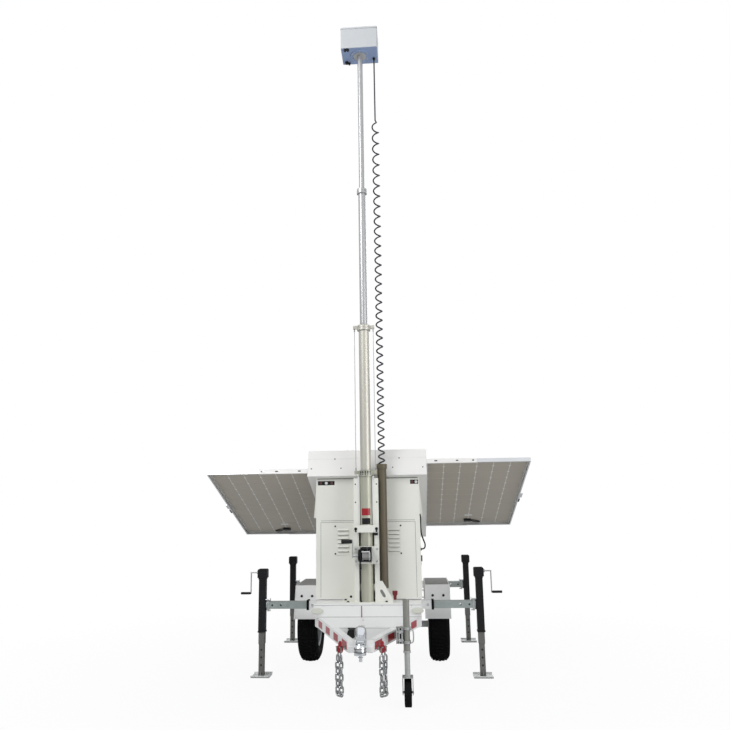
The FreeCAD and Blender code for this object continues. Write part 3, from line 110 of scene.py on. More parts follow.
class Shape:
    """Corners and faces of one piece, gathered from simple forms."""

    def __init__(self):
        self.points = []
        self.faces = []
        self.kinds = []

    def add(self, points, faces, kind=0):
        first = len(self.points)
        self.points += [Vector(p) for p in points]
        self.faces += [[first + i for i in face] for face in faces]
        self.kinds += [kind] * len(faces)

    def block(self, low, high, kind=0, place=Vector):
        corners = [place(p) for p in itertools.product(*zip(low, high))]
        faces = [(0, 1, 3, 2), (4, 6, 7, 5), (0, 4, 5, 1), (2, 3, 7, 6), (0, 2, 6, 4), (1, 5, 7, 3)]
        self.add(corners, faces, kind)

    def flank(self, side, near, far, low, high, kind=0, place=Vector):
        # a block between two distances from the middle plane, low and high without X
        x0, x1 = sorted((side * near, side * far))
        self.block((x0, *low), (x1, *high), kind, place)

    def prism(self, outline, run, kind=0):
        count = len(outline)
        base = [Vector(p) for p in outline]
        top = [p + Vector(run) for p in base]
        sides = [(k, (k + 1) % count, (k + 1) % count + count, k + count) for k in range(count)]
        self.add(base + top, sides + [tuple(range(count))[::-1], tuple(range(count, 2 * count))], kind)

    def lathe(self, start, axis, profile, sides=24, kind=0, closed=False):
        # profile holds (along the axis, out from it)
        along = Vector(axis).normalized()
        across = along.orthogonal().normalized()
        outs = circle(across, along.cross(across), sides)
        points = [Vector(start) + along * a + out * r for a, r in profile for out in outs]
        self.add(points, tube_faces(len(profile), sides, closed), kind)

    def ring(self, start, axis, inner, outer, length, sides=32, kind=0):
        wall = [(0, inner), (0, outer), (length, outer), (length, inner)]
        self.lathe(start, axis, wall, sides, kind, True)

    def rod(self, start, axis, radius, length, sides=24, kind=0, edge=0.0):
        if edge:
            line = [(0, radius - edge), (edge, radius), (length - edge, radius), (length, radius - edge)]
        else:
            line = [(0, radius), (length, radius)]
        self.lathe(start, axis, line, sides, kind)

    def sweep(self, path, radius, sides=10, kind=0, closed=False):
        # a tube along the path, its ring carried from point to point without twist
        path = [Vector(p) for p in path]
        count = len(path)
        ahead = []
        for k in range(count):
            after = path[(k + 1) % count] if closed or k + 1 < count else path[k]
            before = path[k - 1] if closed or k else path[k]
            ahead.append((after - before).normalized())
        across = ahead[0].orthogonal().normalized()
        points = []
        for k in range(count):
            across = (across - ahead[k] * across.dot(ahead[k])).normalized()
            points += [path[k] + out * radius for out in circle(across, ahead[k].cross(across), sides)]
        self.add(points, tube_faces(count, sides, closed), kind)

    def bolt(self, at, axis, radius, height, kind=0):
        # hexagon head on a washer
        along = Vector(axis).normalized()
        at = Vector(at)
        self.rod(at, along, radius * 1.45, height * 0.3, 16, kind)
        self.rod(at + along * height * 0.3, along, radius, height * 0.7, 6, kind)

    def rivet(self, at, axis, radius, kind=0):
        dome = [(0, radius), (radius * 0.3, radius * 0.85), (radius * 0.5, radius * 0.4)]
        self.lathe(at, axis, dome, 12, kind)

    def build(self, name, body, materials, replaces=(), bevel=0.0):
        mesh = bpy.data.meshes.new(name)
        mesh.from_pydata(self.points, [], self.faces)
        for material in materials:
            mesh.materials.append(material)
        mesh.polygons.foreach_set("material_index", self.kinds)
        mesh.validate()
        mesh.shade_smooth()
        mesh.set_sharp_from_angle(angle=SHARP)
        piece = new_object(name, mesh)
        if bevel:
            soften(piece, bevel)
        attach(piece, body)
        if replaces:
            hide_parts(*replaces)
        return piece


def soften(piece, width):
    edge = piece.modifiers.new("edge", "BEVEL")
    edge.width = width
    edge.segments = 2
    edge.limit_method = "ANGLE"
    edge.angle_limit = BEVEL_FROM
    edge.harden_normals = True


def slope(x, s, n):
    # from the housing's own frame (x, along the slope, off the slope)
    return Vector((x, HOUSE.y + s * math.cos(TILT) + n * math.sin(TILT),
                   HOUSE.z - s * math.sin(TILT) + n * math.cos(TILT)))


def sloped(point):
    return slope(*point)


def bars_round(low, high, wide):
    # the four bars round an opening, as pairs of corners
    (a0, b0), (a1, b1) = low, high
    return (((a0 - wide, b0 - wide), (a1 + wide, b0)), ((a0 - wide, b1), (a1 + wide, b1 + wide)),
            ((a0 - wide, b0), (a0, b1)), ((a1, b0), (a1 + wide, b1)))


def outward(degrees):
    # level way out from a standing axis
    turn = math.radians(degrees)
    return Vector((math.cos(turn), math.sin(turn), 0))


def on_mast(z):
    return Vector((0, MAST_Y, z))


# Materials

def feed(node, inlets):
    # each inlet takes a value, or what comes out of another node
    for inlet, value in inlets.items():
        if isinstance(value, bpy.types.NodeSocket):
            node.id_data.links.new(value, node.inputs[inlet])
        else:
            node.inputs[inlet].default_value = value


def add_node(tree, kind, inlets=None, **settings):
    node = tree.nodes.new("ShaderNode" + kind)
    for setting, value in settings.items():
        setattr(node, setting, value)
    feed(node, inlets or {})
    return node.outputs


def new_material(name):
    material = bpy.data.materials.new(name)
    material.use_nodes = True
    return material, material.node_tree, material.node_tree.nodes["Principled BSDF"]


def surface(name, colour, rough=0.5, metal=0.0, vary=0.05, patch=3.0, grain=220.0, bump=0.05, spread=0.06,
            coat=0.0, stretch=(1, 1, 1), shine=0.5):
    # soft patches change the colour and the gloss, fine grain gives relief
    material, tree, shader = new_material(name)
    where = add_node(tree, "TexCoord")
    shaped = add_node(tree, "Mapping", {"Vector": where["Object"], "Scale": stretch})["Vector"]
    patches = add_node(tree, "TexNoise", {"Vector": shaped, "Scale": patch, "Detail": 5.0})["Fac"]
    fine = add_node(tree, "TexNoise", {"Vector": shaped, "Scale": grain, "Detail": 3.0})["Fac"]
    dark = (*[c * (1 - vary) for c in colour], 1)
    light = (*[min(1.0, c * (1 + vary)) for c in colour], 1)
    tint = add_node(tree, "Mix", {0: patches, 6: dark, 7: light}, data_type="RGBA")
    gloss = add_node(tree, "MapRange", {"Value": patches, "To Min": max(0.02, rough - spread),
                                        "To Max": min(1.0, rough + spread)})
    relief = add_node(tree, "Bump", {"Height": fine, "Strength": bump, "Distance": 0.001})
    feed(shader, {"Base Color": tint[2], "Roughness": gloss["Result"], "Normal": relief["Normal"],
                  "Metallic": metal, "Specular IOR Level": shine,
                  "Coat Weight": coat, "Coat Roughness": 0.15})
    return material


WHITE = surface("white_paint", (0.83, 0.83, 0.82), 0.32, vary=0.02, bump=0.04, coat=0.25)
CABINET = surface("cabinet_paint", (0.82, 0.82, 0.755), 0.36, vary=0.02, coat=0.15)
HOUSING = surface("housing_paint", (0.83, 0.815, 0.79), 0.34, vary=0.02, bump=0.04, coat=0.2)
HEAD = surface("head_paint", (0.6, 0.62, 0.635), 0.38, vary=0.02, coat=0.1)
# blue-grey that paints the sky's reflection and the shade on the head box's underside
HEAD_BASE_PAINTED_SKY = surface("head_base_painted_sky", (0.29, 0.385, 0.6), 0.45, vary=0.06)
BLACK = surface("black_paint", (0.006, 0.006, 0.007), 0.45, vary=0.2, bump=0.12, shine=0.3)
PLASTIC = surface("black_plastic", (0.008, 0.008, 0.009), 0.5, vary=0.15, grain=600, bump=0.25, shine=0.3)
RUBBER = surface("rubber", (0.005, 0.005, 0.0055), 0.75, vary=0.25, patch=9, grain=500, bump=0.35, shine=0.12)
ZINC = surface("galvanised", (0.5, 0.51, 0.5), 0.42, 0.75, vary=0.16, patch=24, grain=140, bump=0.18,
               spread=0.1)
LEG_ZINC = surface("leg_galvanised", (0.16, 0.16, 0.15), 0.5, 0.4, vary=0.16, patch=20, grain=140, bump=0.2)
TUBE_GREY = surface("jockey_grey", (0.29, 0.29, 0.262), 0.42, 0.55, vary=0.14, patch=16, grain=160, bump=0.15)
ARM_ZINC = surface("arm_galvanised", (0.33, 0.37, 0.36), 0.46, 0.35, vary=0.15, patch=18, grain=150,
                   bump=0.18)
CHAIN_STEEL = surface("chain_steel", (0.4, 0.41, 0.41), 0.26, 0.85, vary=0.3, patch=60, grain=300, bump=0.2,
                      spread=0.12)
CHROME = surface("chrome", (0.72, 0.74, 0.76), 0.16, 1.0, vary=0.06, patch=20, grain=200)
BRIGHT = surface("bright_steel", (0.62, 0.63, 0.64), 0.28, 0.9, vary=0.1, patch=30, grain=260, bump=0.1)
ALLOY = surface("anodised", (0.68, 0.69, 0.7), 0.35, 0.8, patch=6, grain=160, bump=0.08,
                stretch=(1, 1, 0.05))
DRAWN = {"patch": 5, "grain": 120, "stretch": (1, 1, 0.04)}
MAST = surface("mast_tube", (0.5, 0.5, 0.5), 0.36, 0.5, vary=0.06, bump=0.06, **DRAWN)
MAST_LOW = surface("mast_base_tube", (0.51, 0.51, 0.415), 0.4, 0.5, vary=0.08, bump=0.08, **DRAWN)
MAST_MID = surface("mast_second_tube", (0.62, 0.6, 0.53), 0.4, 0.5, vary=0.08, bump=0.08, **DRAWN)
CONDUIT = surface("conduit", (0.125, 0.105, 0.068), 0.5, 0.25, vary=0.14, patch=8, grain=160, bump=0.12,
                  stretch=(1, 1, 0.2))
# grey that paints the shade under each louvre
LOUVRE_PAINTED_SHADE = surface("louvre_painted_shade", (0.42, 0.42, 0.39), 0.8, vary=0.1)
# near-black that paints the shade in the hollow under the housing's front edge
HOUSING_EDGE_PAINTED_SHADE = surface("painted_shade_under_housing", (0.13, 0.13, 0.12), 0.8, vary=0.1)
VENT_BROWN = surface("vent_brown", (0.13, 0.06, 0.055), 0.7, vary=0.2)
FOOT_ZINC = surface("foot_galvanised", (0.66, 0.67, 0.66), 0.4, 0.3, vary=0.12, patch=24, grain=140,
                    bump=0.15)
# dark grey that paints the shade along folds and edges and in a slot
FOLD_PAINTED_SHADE = surface("painted_fold_shade", (0.22, 0.22, 0.21), 0.8, vary=0.1)
STRAP_GREY = surface("winch_strap", (0.3, 0.3, 0.29), 0.6, vary=0.2, patch=40, grain=500, bump=0.5)
WIRE = surface("wire_rope", (0.42, 0.42, 0.42), 0.45, 0.7, vary=0.2, patch=60, grain=900, bump=0.4)
CABLE = surface("curly_jacket", (0.012, 0.015, 0.026), 0.42, vary=0.15, patch=10, grain=400, bump=0.1)
RED = surface("red_paint", (0.28, 0.011, 0.02), 0.4, vary=0.1, bump=0.08)
DARK_RED = surface("dark_red", (0.17, 0.008, 0.013), 0.4, vary=0.1, bump=0.08)
FOIL = {"patch": 12, "grain": 700, "bump": 0.3, "coat": 0.4}
TAPE_RED = surface("red_tape", (0.36, 0.012, 0.022), 0.3, vary=0.06, **FOIL)
TAPE_WHITE = surface("white_tape", (0.82, 0.82, 0.8), 0.3, vary=0.03, **FOIL)
LENS_RED = surface("red_lens", (0.42, 0.01, 0.01), 0.15, vary=0.08, grain=350, bump=0.5, coat=0.6)
LENS_AMBER = surface("pale_lens", (0.66, 0.67, 0.59), 0.2, vary=0.04, grain=350, bump=0.4, coat=0.5)
CELL_BACK = surface("cell_back", (0.415, 0.378, 0.318), 0.45, vary=0.08, patch=4, grain=260, bump=0.04)
CELL_TOP = surface("cell_face", (0.006, 0.011, 0.034), 0.16, vary=0.25, patch=7, grain=260, bump=0.03,
                   coat=0.8)
SHEET_BACK = surface("back_sheet", (0.72, 0.72, 0.7), 0.5, vary=0.02, grain=300, bump=0.04)
BATTERY = surface("battery_case", (0.03, 0.03, 0.032), 0.55, vary=0.1, bump=0.2)
RIM = surface("rim_paint", (0.6, 0.61, 0.62), 0.34, 0.5, bump=0.06, coat=0.2)
# near-black that paints the shade in gaps, seams, slots, holes, grooves and folds
PAINTED_HOLLOW_SHADE = surface("painted_hollow_shade", (0.015, 0.015, 0.016), 0.8, vary=0.1)
SEAL = surface("door_seal", (0.02, 0.02, 0.02), 0.65, vary=0.1, grain=400, bump=0.2)
# grey that paints the shade of the panels on the fender tops, with a grit relief
GRIT_TOP_PAINTED_SHADE = surface("grit_sheet_painted_shade", (0.33, 0.33, 0.33), 0.75, vary=0.12, patch=14, grain=420, bump=0.8)

# each material with the names of its nodes, or their first letters
LOOKS = (
    (WHITE, "side_rails cross_members front_platform drawbar fender_"), (HEAD, "head_box"),
    (CABINET, "cabinet_ mast_bracket door_"), (HOUSING, "housing_ slide_rails_"),
    (ALLOY, "panel_frame_"), (SHEET_BACK, "panel_glass_"), (BATTERY, "battery_bank"),
    (MAST_LOW, "mast_base"), (MAST_MID, "mast_stage_2"), (MAST, "mast_stage_3 mast_stage_4"),
    (CONDUIT, "cable_conduit"), (LENS_RED, "lamps"), (BLACK, "jack_ leaf_springs mast_winch"),
    (ARM_ZINC, "arm_"), (LEG_ZINC, "leg_"), (ZINC, "axle jockey_leg jockey_fork"),
    (TUBE_GREY, "jockey_tube"), (RUBBER, "jockey_wheel"), (CHROME, "coupler"), (RIM, "rim_"),
)
EDGE_WIDTH = 0.0012
EDGE = {"panel_frame_left": 0.0006, "panel_frame_right": 0.0006, "head_box": 0.002, "housing_cover": 0.003,
        "housing_base": 0.002, "cabinet_front": 0.0015, "axle": 0.002}

for material, starts in LOOKS:
    for node in [name for name in NODES if name.startswith(tuple(starts.split()))]:
        shown = NODES[node]
        shown.data.materials.clear()
        shown.data.materials.append(material)
        stored = shown.data.attributes.get("custom_normal")
        if stored:
            shown.data.attributes.remove(stored)
        shown.data.shade_smooth()
        join = shown.modifiers.new("join", "WELD")
        join.merge_threshold = 0.00002
        soften(shown, EDGE.get(node, EDGE_WIDTH))


def paint_faces(node, material, chosen):
    # a second material for the faces whose middle is chosen
    shown = NODES[node]
    shown.data.materials.append(material)
    for face in shown.data.polygons:
        if chosen(shown.matrix_world @ face.center):
            face.material_index = 1


def on_knob(at):
    return at.z > KNOB_LOW and at.x < JOCKEY_X - 0.05


FOOT_TOP, KNOB_LOW = 0.025, 0.7455
for tag, _, _ in CORNERS:
    paint_faces("leg_" + tag, FOOT_ZINC, lambda at: at.z < FOOT_TOP)
paint_faces("jockey_tube", DARK_RED, on_knob)

# Tyres with ribbed tread, rim lips and wheel nuts

SIDEWALL = [(0.066, 0.1866), (0.074, 0.19), (0.082, 0.2), (0.089, 0.22), (0.0925, 0.238),
            (0.0938, 0.253), (0.0925, 0.267), (0.0905, 0.274), (0.0915, 0.277), (0.0885, 0.284),
            (0.083, 0.291), (0.074, 0.299), (0.06, 0.3075), (0.04, 0.3135), (0.02, 0.316)]
RIBS = ((-0.056, 0.02, 0.3), (-0.03, 0.022, -0.3), (0.0, 0.024, 0.0), (0.03, 0.022, 0.3),
        (0.056, 0.02, -0.3))
RIB_BLOCKS, RIB_DEPTH, CROWN = 60, 0.012, 2.6
SHOULDER_X, SHOULDER_W, SHOULDER_LOW, SHOULDER_HIGH = 0.0735, 0.009, 0.292, 0.3035
RIM_LIP_X, NUTS, NUT_RING_R, NUT_X, HUB_X = 0.066, 5, 0.046, 0.016, 0.04
RIM_LIP = [(0, 0.1865), (0.004, 0.1935), (0.008, 0.1955), (0.01, 0.193), (0.006, 0.184), (0, 0.178)]


def round_axle(x, radius=0, turn=0):
    return (x, AXLE_Y + radius * math.sin(turn), TYRE_R + radius * math.cos(turn))


def tread_block(shape, x, width, turn, span, lean, low, high):
    corners = []
    for radius in (low, high):
        for dx, dt in ((-0.5, -0.5), (0.5, -0.5), (0.5, 0.5), (-0.5, 0.5)):
            corners.append(round_axle(x + width * dx, radius, turn + span * (dt + lean * dx)))
    shape.add(corners, [(0, 1, 5, 4), (1, 2, 6, 5), (2, 3, 7, 6), (3, 0, 4, 7), (4, 5, 6, 7)])


for name, side in SIDES:
    tyre = Shape()
    centre = side * TRACK
    outline = SIDEWALL + [(-a, r) for a, r in SIDEWALL[::-1]]
    tyre.lathe(round_axle(centre), X, outline, 96, closed=True)
    pitch = 2 * math.pi / RIB_BLOCKS
    for offset, width, lean in RIBS:
        top = TYRE_R - 0.0005 - CROWN * offset * offset
        for k in range(RIB_BLOCKS):
            tread_block(tyre, centre + offset, width, k * pitch, pitch * 0.8, lean, top - RIB_DEPTH, top)
    for way in (-1, 1):
        for k in range(RIB_BLOCKS):
            tread_block(tyre, centre + way * SHOULDER_X, SHOULDER_W, (k + 0.5) * pitch, pitch * 0.62, 0,
                        SHOULDER_LOW, SHOULDER_HIGH)
    tyre.build("tyre_tread_" + name, "wheel_" + name, [RUBBER], ["tyre_" + name])

    rim = Shape()
    for way in (-1, 1):
        rim.lathe(round_axle(centre + way * RIM_LIP_X), X * way, RIM_LIP, 72, closed=True)
    for turn in turns(NUTS):
        at = round_axle(centre + side * NUT_X, NUT_RING_R, turn)
        rim.lathe(at, X * side, [(0, 0.0135), (0.004, 0.0125), (0.006, 0.01)], 18, 1)
    hub = round_axle(centre + side * HUB_X)
    rim.lathe(hub, X * side, [(0, 0.0285), (0.004, 0.027), (0.008, 0.018)], 28, 1)
    valve = Vector(hub) + Y * 0.16
    rim.sweep([valve, valve + X * side * 0.02 - Y * 0.005], 0.004, 10, 2)
    rim.build("rim_trim_" + name, "wheel_" + name, [RIM, BRIGHT, RUBBER])

# Safety chains of round bar, with hanger and red hook


def beam_x(y):
    return BEAM_NOSE_X + BEAM_SPREAD * (y - NOSE_Y)


def beam_middle(y):
    # half way up a drawbar beam, which falls ahead of the platform
    return BEAM_TOP - BEAM_H / 2 - BEAM_FALL * (PLATFORM_Y - y)


LINK_LEN, LINK_W, LINK_T, LINK_COUNT, LINK_STEP = 0.064, 0.041, 0.0122, 7, 0.0408
CHAIN_Y, CHAIN_TOP, STRAND_HALF = -1.255, 0.396, 0.019
CHAIN_XS = ((-1, -0.157), (1, 0.157))
HANG_Z = CHAIN_TOP + LINK_LEN / 2 - LINK_T - 0.0053
TONGUE_Z = 0.44
HOOK_LINE = ((-0.008, 0.039), (0.008, 0.039), (0.013, 0.026), (0.013, 0.012), (0.021, 0.002),
             (0.022, -0.02), (0.014, -0.036), (-0.002, -0.041), (-0.017, -0.036), (-0.023, -0.02),
             (-0.021, 0.000), (-0.011, 0.01), (-0.012, 0.026))
HOOK_X, HOOK_FRONT, HOOK_Z, HOOK_THICK = 0.15, -1.271, 0.438, 0.012
HANG_HALF, HANG_DEEP, HANG_T, LINK_SWAY = 0.026, 0.012, 0.008, 26


def link_path(centre, length, long_way, wide_way):
    # middle line of a round-ended link
    bend = (LINK_W - LINK_T) / 2
    straight = (length - LINK_T) / 2 - bend
    path = []
    for k in range(24):
        turn = 2 * math.pi * (k + 0.5) / 24
        along = straight if math.sin(turn) > 0 else -straight
        path.append(centre + long_way * (along + bend * math.sin(turn)) + wide_way * (bend * math.cos(turn)))
    return path


chains = Shape()
for side, x in CHAIN_XS:
    slant = Matrix.Rotation(side * math.radians(45), 3, "Z")
    wide, deep = slant @ X, slant @ Y
    top = Vector((x, CHAIN_Y, CHAIN_TOP))
    chains.sweep(link_path(top, LINK_LEN, Z, wide), LINK_T / 2, 8, 0, True)
    for strand in (-STRAND_HALF, STRAND_HALF):
        for k in range(1, LINK_COUNT):
            centre = top + wide * strand - Z * k * LINK_STEP
            sway = Matrix.Rotation(math.radians(chance.uniform(-LINK_SWAY, LINK_SWAY)), 3, "Z")
            lie = sway @ (wide if k % 2 else deep)
            chains.sweep(link_path(centre, LINK_LEN, Z, lie), LINK_T / 2, 8, 0, True)
    low = top - Z * ((LINK_COUNT - 1) * LINK_STEP + LINK_LEN / 2 - LINK_T / 2)
    chains.sweep(link_path(low, 0.082, wide, Z), LINK_T / 2, 8, 0, True)

    def hung(point):
        return Vector((x, CHAIN_Y, 0)) + wide * point[0] + deep * point[1] + Z * point[2]

    plate = TONGUE_Z - HANG_T
    pin_half = HANG_HALF + 0.003
    chains.rod(hung((-pin_half, 0, HANG_Z)), wide, 0.005, 2 * pin_half, 16, 0, 0.001)
    chains.block((-HANG_HALF, -HANG_DEEP, plate), (HANG_HALF, HANG_DEEP, TONGUE_Z), 2, hung)
    for end in (-HANG_HALF, HANG_HALF - 0.005):
        chains.block((end, -0.008, HANG_Z - 0.008), (end + 0.005, 0.008, TONGUE_Z), 2, hung)
    ys = (CHAIN_Y - HANG_DEEP, CHAIN_Y + HANG_DEEP)
    root = [(side * beam_x(y), y, plate) for y in ys]
    chains.prism(root + [(x, y, plate) for y in ys[::-1]], (0, 0, HANG_T), 2)
    hook = [(side * (HOOK_X + a), HOOK_FRONT, HOOK_Z + b) for a, b in HOOK_LINE]
    chains.prism(hook, (0, HOOK_THICK, 0), 1)
chains.build("round_link_chains", "root", [CHAIN_STEEL, RED, TUBE_GREY], ["safety_chains"])

# Curly cable and lift wires


def smooth_route(points):
    curve = bpy.data.curves.new("route", "CURVE")
    curve.dimensions = "3D"
    spline = curve.splines.new("NURBS")
    spline.points.add(len(points) - 1)
    for point, at in zip(spline.points, points):
        point.co = (*at, 1)
    spline.order_u = 3
    spline.use_endpoint_u = True
    spline.resolution_u = 24
    holder = bpy.data.objects.new("route", curve)
    mesh = bpy.data.meshes.new_from_object(holder)
    line = [v.co.copy() for v in mesh.vertices]
    bpy.data.objects.remove(holder)
    bpy.data.curves.remove(curve)
    bpy.data.meshes.remove(mesh)
    return line


CABLE_R = 0.0068
COIL_LOW_R, COIL_HIGH_R = 0.024, 0.03
PITCH_LOW, PITCH_HIGH = 0.056, 0.118
STEPS_PER_TURN = 18


def point_at(line, distance):
    for a, b in zip(line, line[1:]):
        step = (b - a).length
        if distance <= step:
            return a.lerp(b, distance / step)
        distance -= step
    return line[-1]


ROUTE = ((0, COIL_Z0 + 0.001), (0, 1.9), (0.002, 2.9), (0.003, 3.8), (0.001, 4.5), (0, 5.0), (0, 5.2),
         (0, HEAD_Z - 0.005))
line = smooth_route([(CABLE_X + dx, CABLE_Y, z) for dx, z in ROUTE])
coil_len = COIL_Z1 - COIL_Z0
helix = []
height, turn = 0.0, 0.0
while height < coil_len:
    share = height / coil_len
    ease = min(1.0, height / 0.03, (coil_len - height) / 0.06)
    radius = (COIL_LOW_R + (COIL_HIGH_R - COIL_LOW_R) * share) * max(0.0, ease)
    middle = point_at(line, height)
    helix.append(middle + X * radius * math.cos(turn) + Y * radius * math.sin(turn))
    turn += 2 * math.pi / STEPS_PER_TURN
    height += (PITCH_LOW + (PITCH_HIGH - PITCH_LOW) * share ** 1.3) / STEPS_PER_TURN
total = sum((b - a).length for a, b in zip(line, line[1:]))
for k in range(13):
    helix.append(point_at(line, coil_len + (total - coil_len) * k / 12))
cable = Shape()
cable.sweep(helix, CABLE_R, 8)
cable_piece = cable.build("curly_lead", "root", [CABLE], ["curly_cable"])
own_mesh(cable_piece)

WIRE_X, WIRE_Z, WIRE_LEN, WIRE_END = 0.084, 1.7143, 1.2524, 0.024
wires = Shape()
for _, side in SIDES:
    wires.rod((side * WIRE_X, MAST_Y, WIRE_Z), Z, 0.0026, WIRE_LEN, 12)
    for z in (WIRE_Z, WIRE_Z + WIRE_LEN - WIRE_END):
        wires.rod((side * WIRE_X, MAST_Y, z), Z, 0.0055, WIRE_END, 14)
wire_piece = wires.build("lift_wire_ropes", "root", [WIRE], ["lift_wires"])
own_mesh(wire_piece)

# Solar panels: cells on both faces, junction box, leads and latches

CELL_COLS, CELL_ROWS, CELL_BARS = 6, 12, 4
COL_GAP, ROW_GAP, CELL_CUT = 0.0055, 0.0022, 0.01
LIP, EDGE_X, EDGE_S = 0.011, 0.005, 0.007
BOX_X, BOX_S = 0.965, 1.545
BOX_LEAD = ((0.034, 0), (0.06, 0.004), (0.095, 0.02), (0.125, 0.045), (0.14, 0.06), (0.115, 0.066),
            (0.07, 0.06), (0.036, 0.018))
RAIL_SLOTS = {-1: ((0.596, 0.018), (0.8, 0.018), (0.935, 0.01)),
              1: ((0.605, 0.018), (0.79, 0.015), (0.93, 0.012))}


def cell_outline(x0, x1, s0, s1, n):
    c = CELL_CUT
    flat = [(x0 + c, s0), (x1 - c, s0), (x1, s0 + c), (x1, s1 - c), (x1 - c, s1), (x0 + c, s1), (x0, s1 - c),
            (x0, s0 + c)]
    return [slope(x, s, n) for x, s in flat]


for name, side in SIDES:
    level = PANEL_LEVEL[side]
    x_low = PANEL_OUT - PANEL_W + LIP
    col = (PANEL_W - 2 * LIP - 2 * EDGE_X) / CELL_COLS
    row = (PANEL_L - 2 * LIP - 2 * EDGE_S) / CELL_ROWS
    under, upper = level + PANEL_T - 0.0066, level + PANEL_T - 0.0009
    normal = slope(0, 0, 1) - slope(0, 0, 0)
    cells = Shape()
    for i in range(CELL_COLS):
        for j in range(CELL_ROWS):
            x0 = x_low + EDGE_X + i * col + COL_GAP / 2
            s0 = PANEL_S + LIP + EDGE_S + j * row + ROW_GAP / 2
            s1 = s0 + row - ROW_GAP
            x0, x1 = sorted((side * x0, side * (x0 + col - COL_GAP)))
            cells.prism(cell_outline(x0, x1, s0, s1, under), normal * 0.0006)
            cells.prism(cell_outline(x0, x1, s0, s1, upper), normal * 0.0005, 1)
        for k in range(CELL_BARS):
            x = x_low + EDGE_X + (i + (k + 0.5) / CELL_BARS) * col
            s0, s1 = PANEL_S + LIP + 0.01, PANEL_S + PANEL_L - LIP - 0.01
            cells.flank(side, x - 0.0004, x + 0.0004, (s0, upper + 0.0005), (s1, upper + 0.0007), 2, sloped)
    cells.build("cells_" + name, "panel_" + name, [CELL_BACK, CELL_TOP, SHEET_BACK])

    gear = Shape()
    for dx, ds, n0, n1 in ((0.036, 0.028, 0.016, 0), (0.03, 0.022, 0.019, 0.016)):
        low, high = (BOX_S - ds, under - n0), (BOX_S + ds, under - n1)
        gear.flank(side, BOX_X - dx, BOX_X + dx, low, high, 0, sloped)
    run = smooth_route([(side * (BOX_X + a), BOX_S + b, under - 0.006) for a, b in BOX_LEAD])
    gear.sweep([sloped(p) for p in run], 0.0045, 8)
    gear.flank(side, 0.93, 1.01, (1.395, under - 0.0006), (1.43, under), 1, sloped)
    gear.build("panel_gear_" + name, "panel_" + name, [PLASTIC, SHEET_BACK], (), 0.001)

    trim = Shape()
    for s in (PANEL_S + LIP / 2, PANEL_S + PANEL_L - LIP / 2):
        for x in (PANEL_OUT - LIP / 2, PANEL_OUT - PANEL_W + LIP / 2):
            trim.rivet(slope(side * x, s, level), -normal, 0.0032)
    trim.flank(side, PANEL_OUT - 0.002, PANEL_OUT + 0.0125, (0.902, level - 0.0006),
               (0.978, level + 0.0226), 1, sloped)
    trim.build("panel_trim_" + name, "panel_" + name, [BRIGHT, PLASTIC])

    # dark slots paint the shade in the slide rails' openings
    slots = Shape()
    for x, half in RAIL_SLOTS[side]:
        slots.flank(side, x - half * 0.7, x + half * 0.7, (PANEL_S - 0.0037, level + 0.013),
                    (PANEL_S - 0.0029, level + 0.023), 0, sloped)
    slots.build("rail_slots_" + name, "slides_" + name, [PAINTED_HOLLOW_SHADE])

# Housing: rivets, lid seam as a strip of painted shade, latch plates

house = Shape()
SEAM_LOW, SEAM_HIGH, SEAM_OUT, LATCH_OUT = HOUSE_SPLIT - 0.0014, HOUSE_SPLIT + 0.0014, 0.0006, 0.01
front_way = slope(0, -1, 0) - slope(0, 0, 0)
for x, n in ((0.227, 0.072), (0.284, 0.16), (0.489, 0.071)):
    for side in (-1, 1):
        house.rivet(slope(side * x, 0, n), front_way, 0.006)
for side in (-1, 1):
    for s in (0.1, 0.46, 0.84, 1.22, 1.58):
        house.rivet(slope(side * HOUSE_X, s, 0.205), X * side, 0.0055)
    # the lid seam is a dark strip that paints the shade in the gap
    house.flank(side, HOUSE_X, HOUSE_X + SEAM_OUT, (0, SEAM_LOW), (HOUSE_LEN, SEAM_HIGH), 1, sloped)
    for s in (0.35, 1.3):
        house.flank(side, HOUSE_X, HOUSE_X + LATCH_OUT, (s - 0.035, HOUSE_SPLIT - 0.004),
                    (s + 0.035, HOUSE_SPLIT + 0.046), 2, sloped)
        for way in (-1, 1):
            at = slope(side * (HOUSE_X + LATCH_OUT), s + way * 0.02, HOUSE_SPLIT + 0.021)
            house.rivet(at, X * side, 0.005, 3)
# the lid seam across the rear is a dark strip of painted shade
house.block((-HOUSE_X, HOUSE_LEN, SEAM_LOW), (HOUSE_X, HOUSE_LEN + SEAM_OUT, SEAM_HIGH), 1, sloped)
house.build("housing_trim", "root", [PLASTIC, PAINTED_HOLLOW_SHADE, ZINC, BRIGHT], (), 0.0006)

# Cabinet: louvre screws, painted shade under the louvres and along the fold lines, plugged slots with painted
# shade behind, a painted shade strip under the housing, door seals and locks

cab = Shape()
FOLD_X, FOLD_T, FOLD_ZS = 0.409, 0.0008, (1.283, 1.297)
DOOR_LOW, DOOR_HIGH, SEAL_W = (0.059, 0.78), (0.859, 1.05), 0.012
LOUVRE_SPANS = ((-0.262, -0.167), (-0.123, -0.076), (0.086, 0.133), (0.176, 0.271))
LOUVRE_TOP, LOUVRE_STEP, LOUVRE_COUNT = 1.215, 0.035, 6
SLOT_SPANS, PLUG_STEP = ((-0.436, -0.288), (0.375, 0.444)), 0.045
for x in (-0.283, 0.283):
    for z in (1.019, 1.25):
        cab.bolt((x, LOUVRE_Y, z), -Y, 0.005, 0.005, 3)
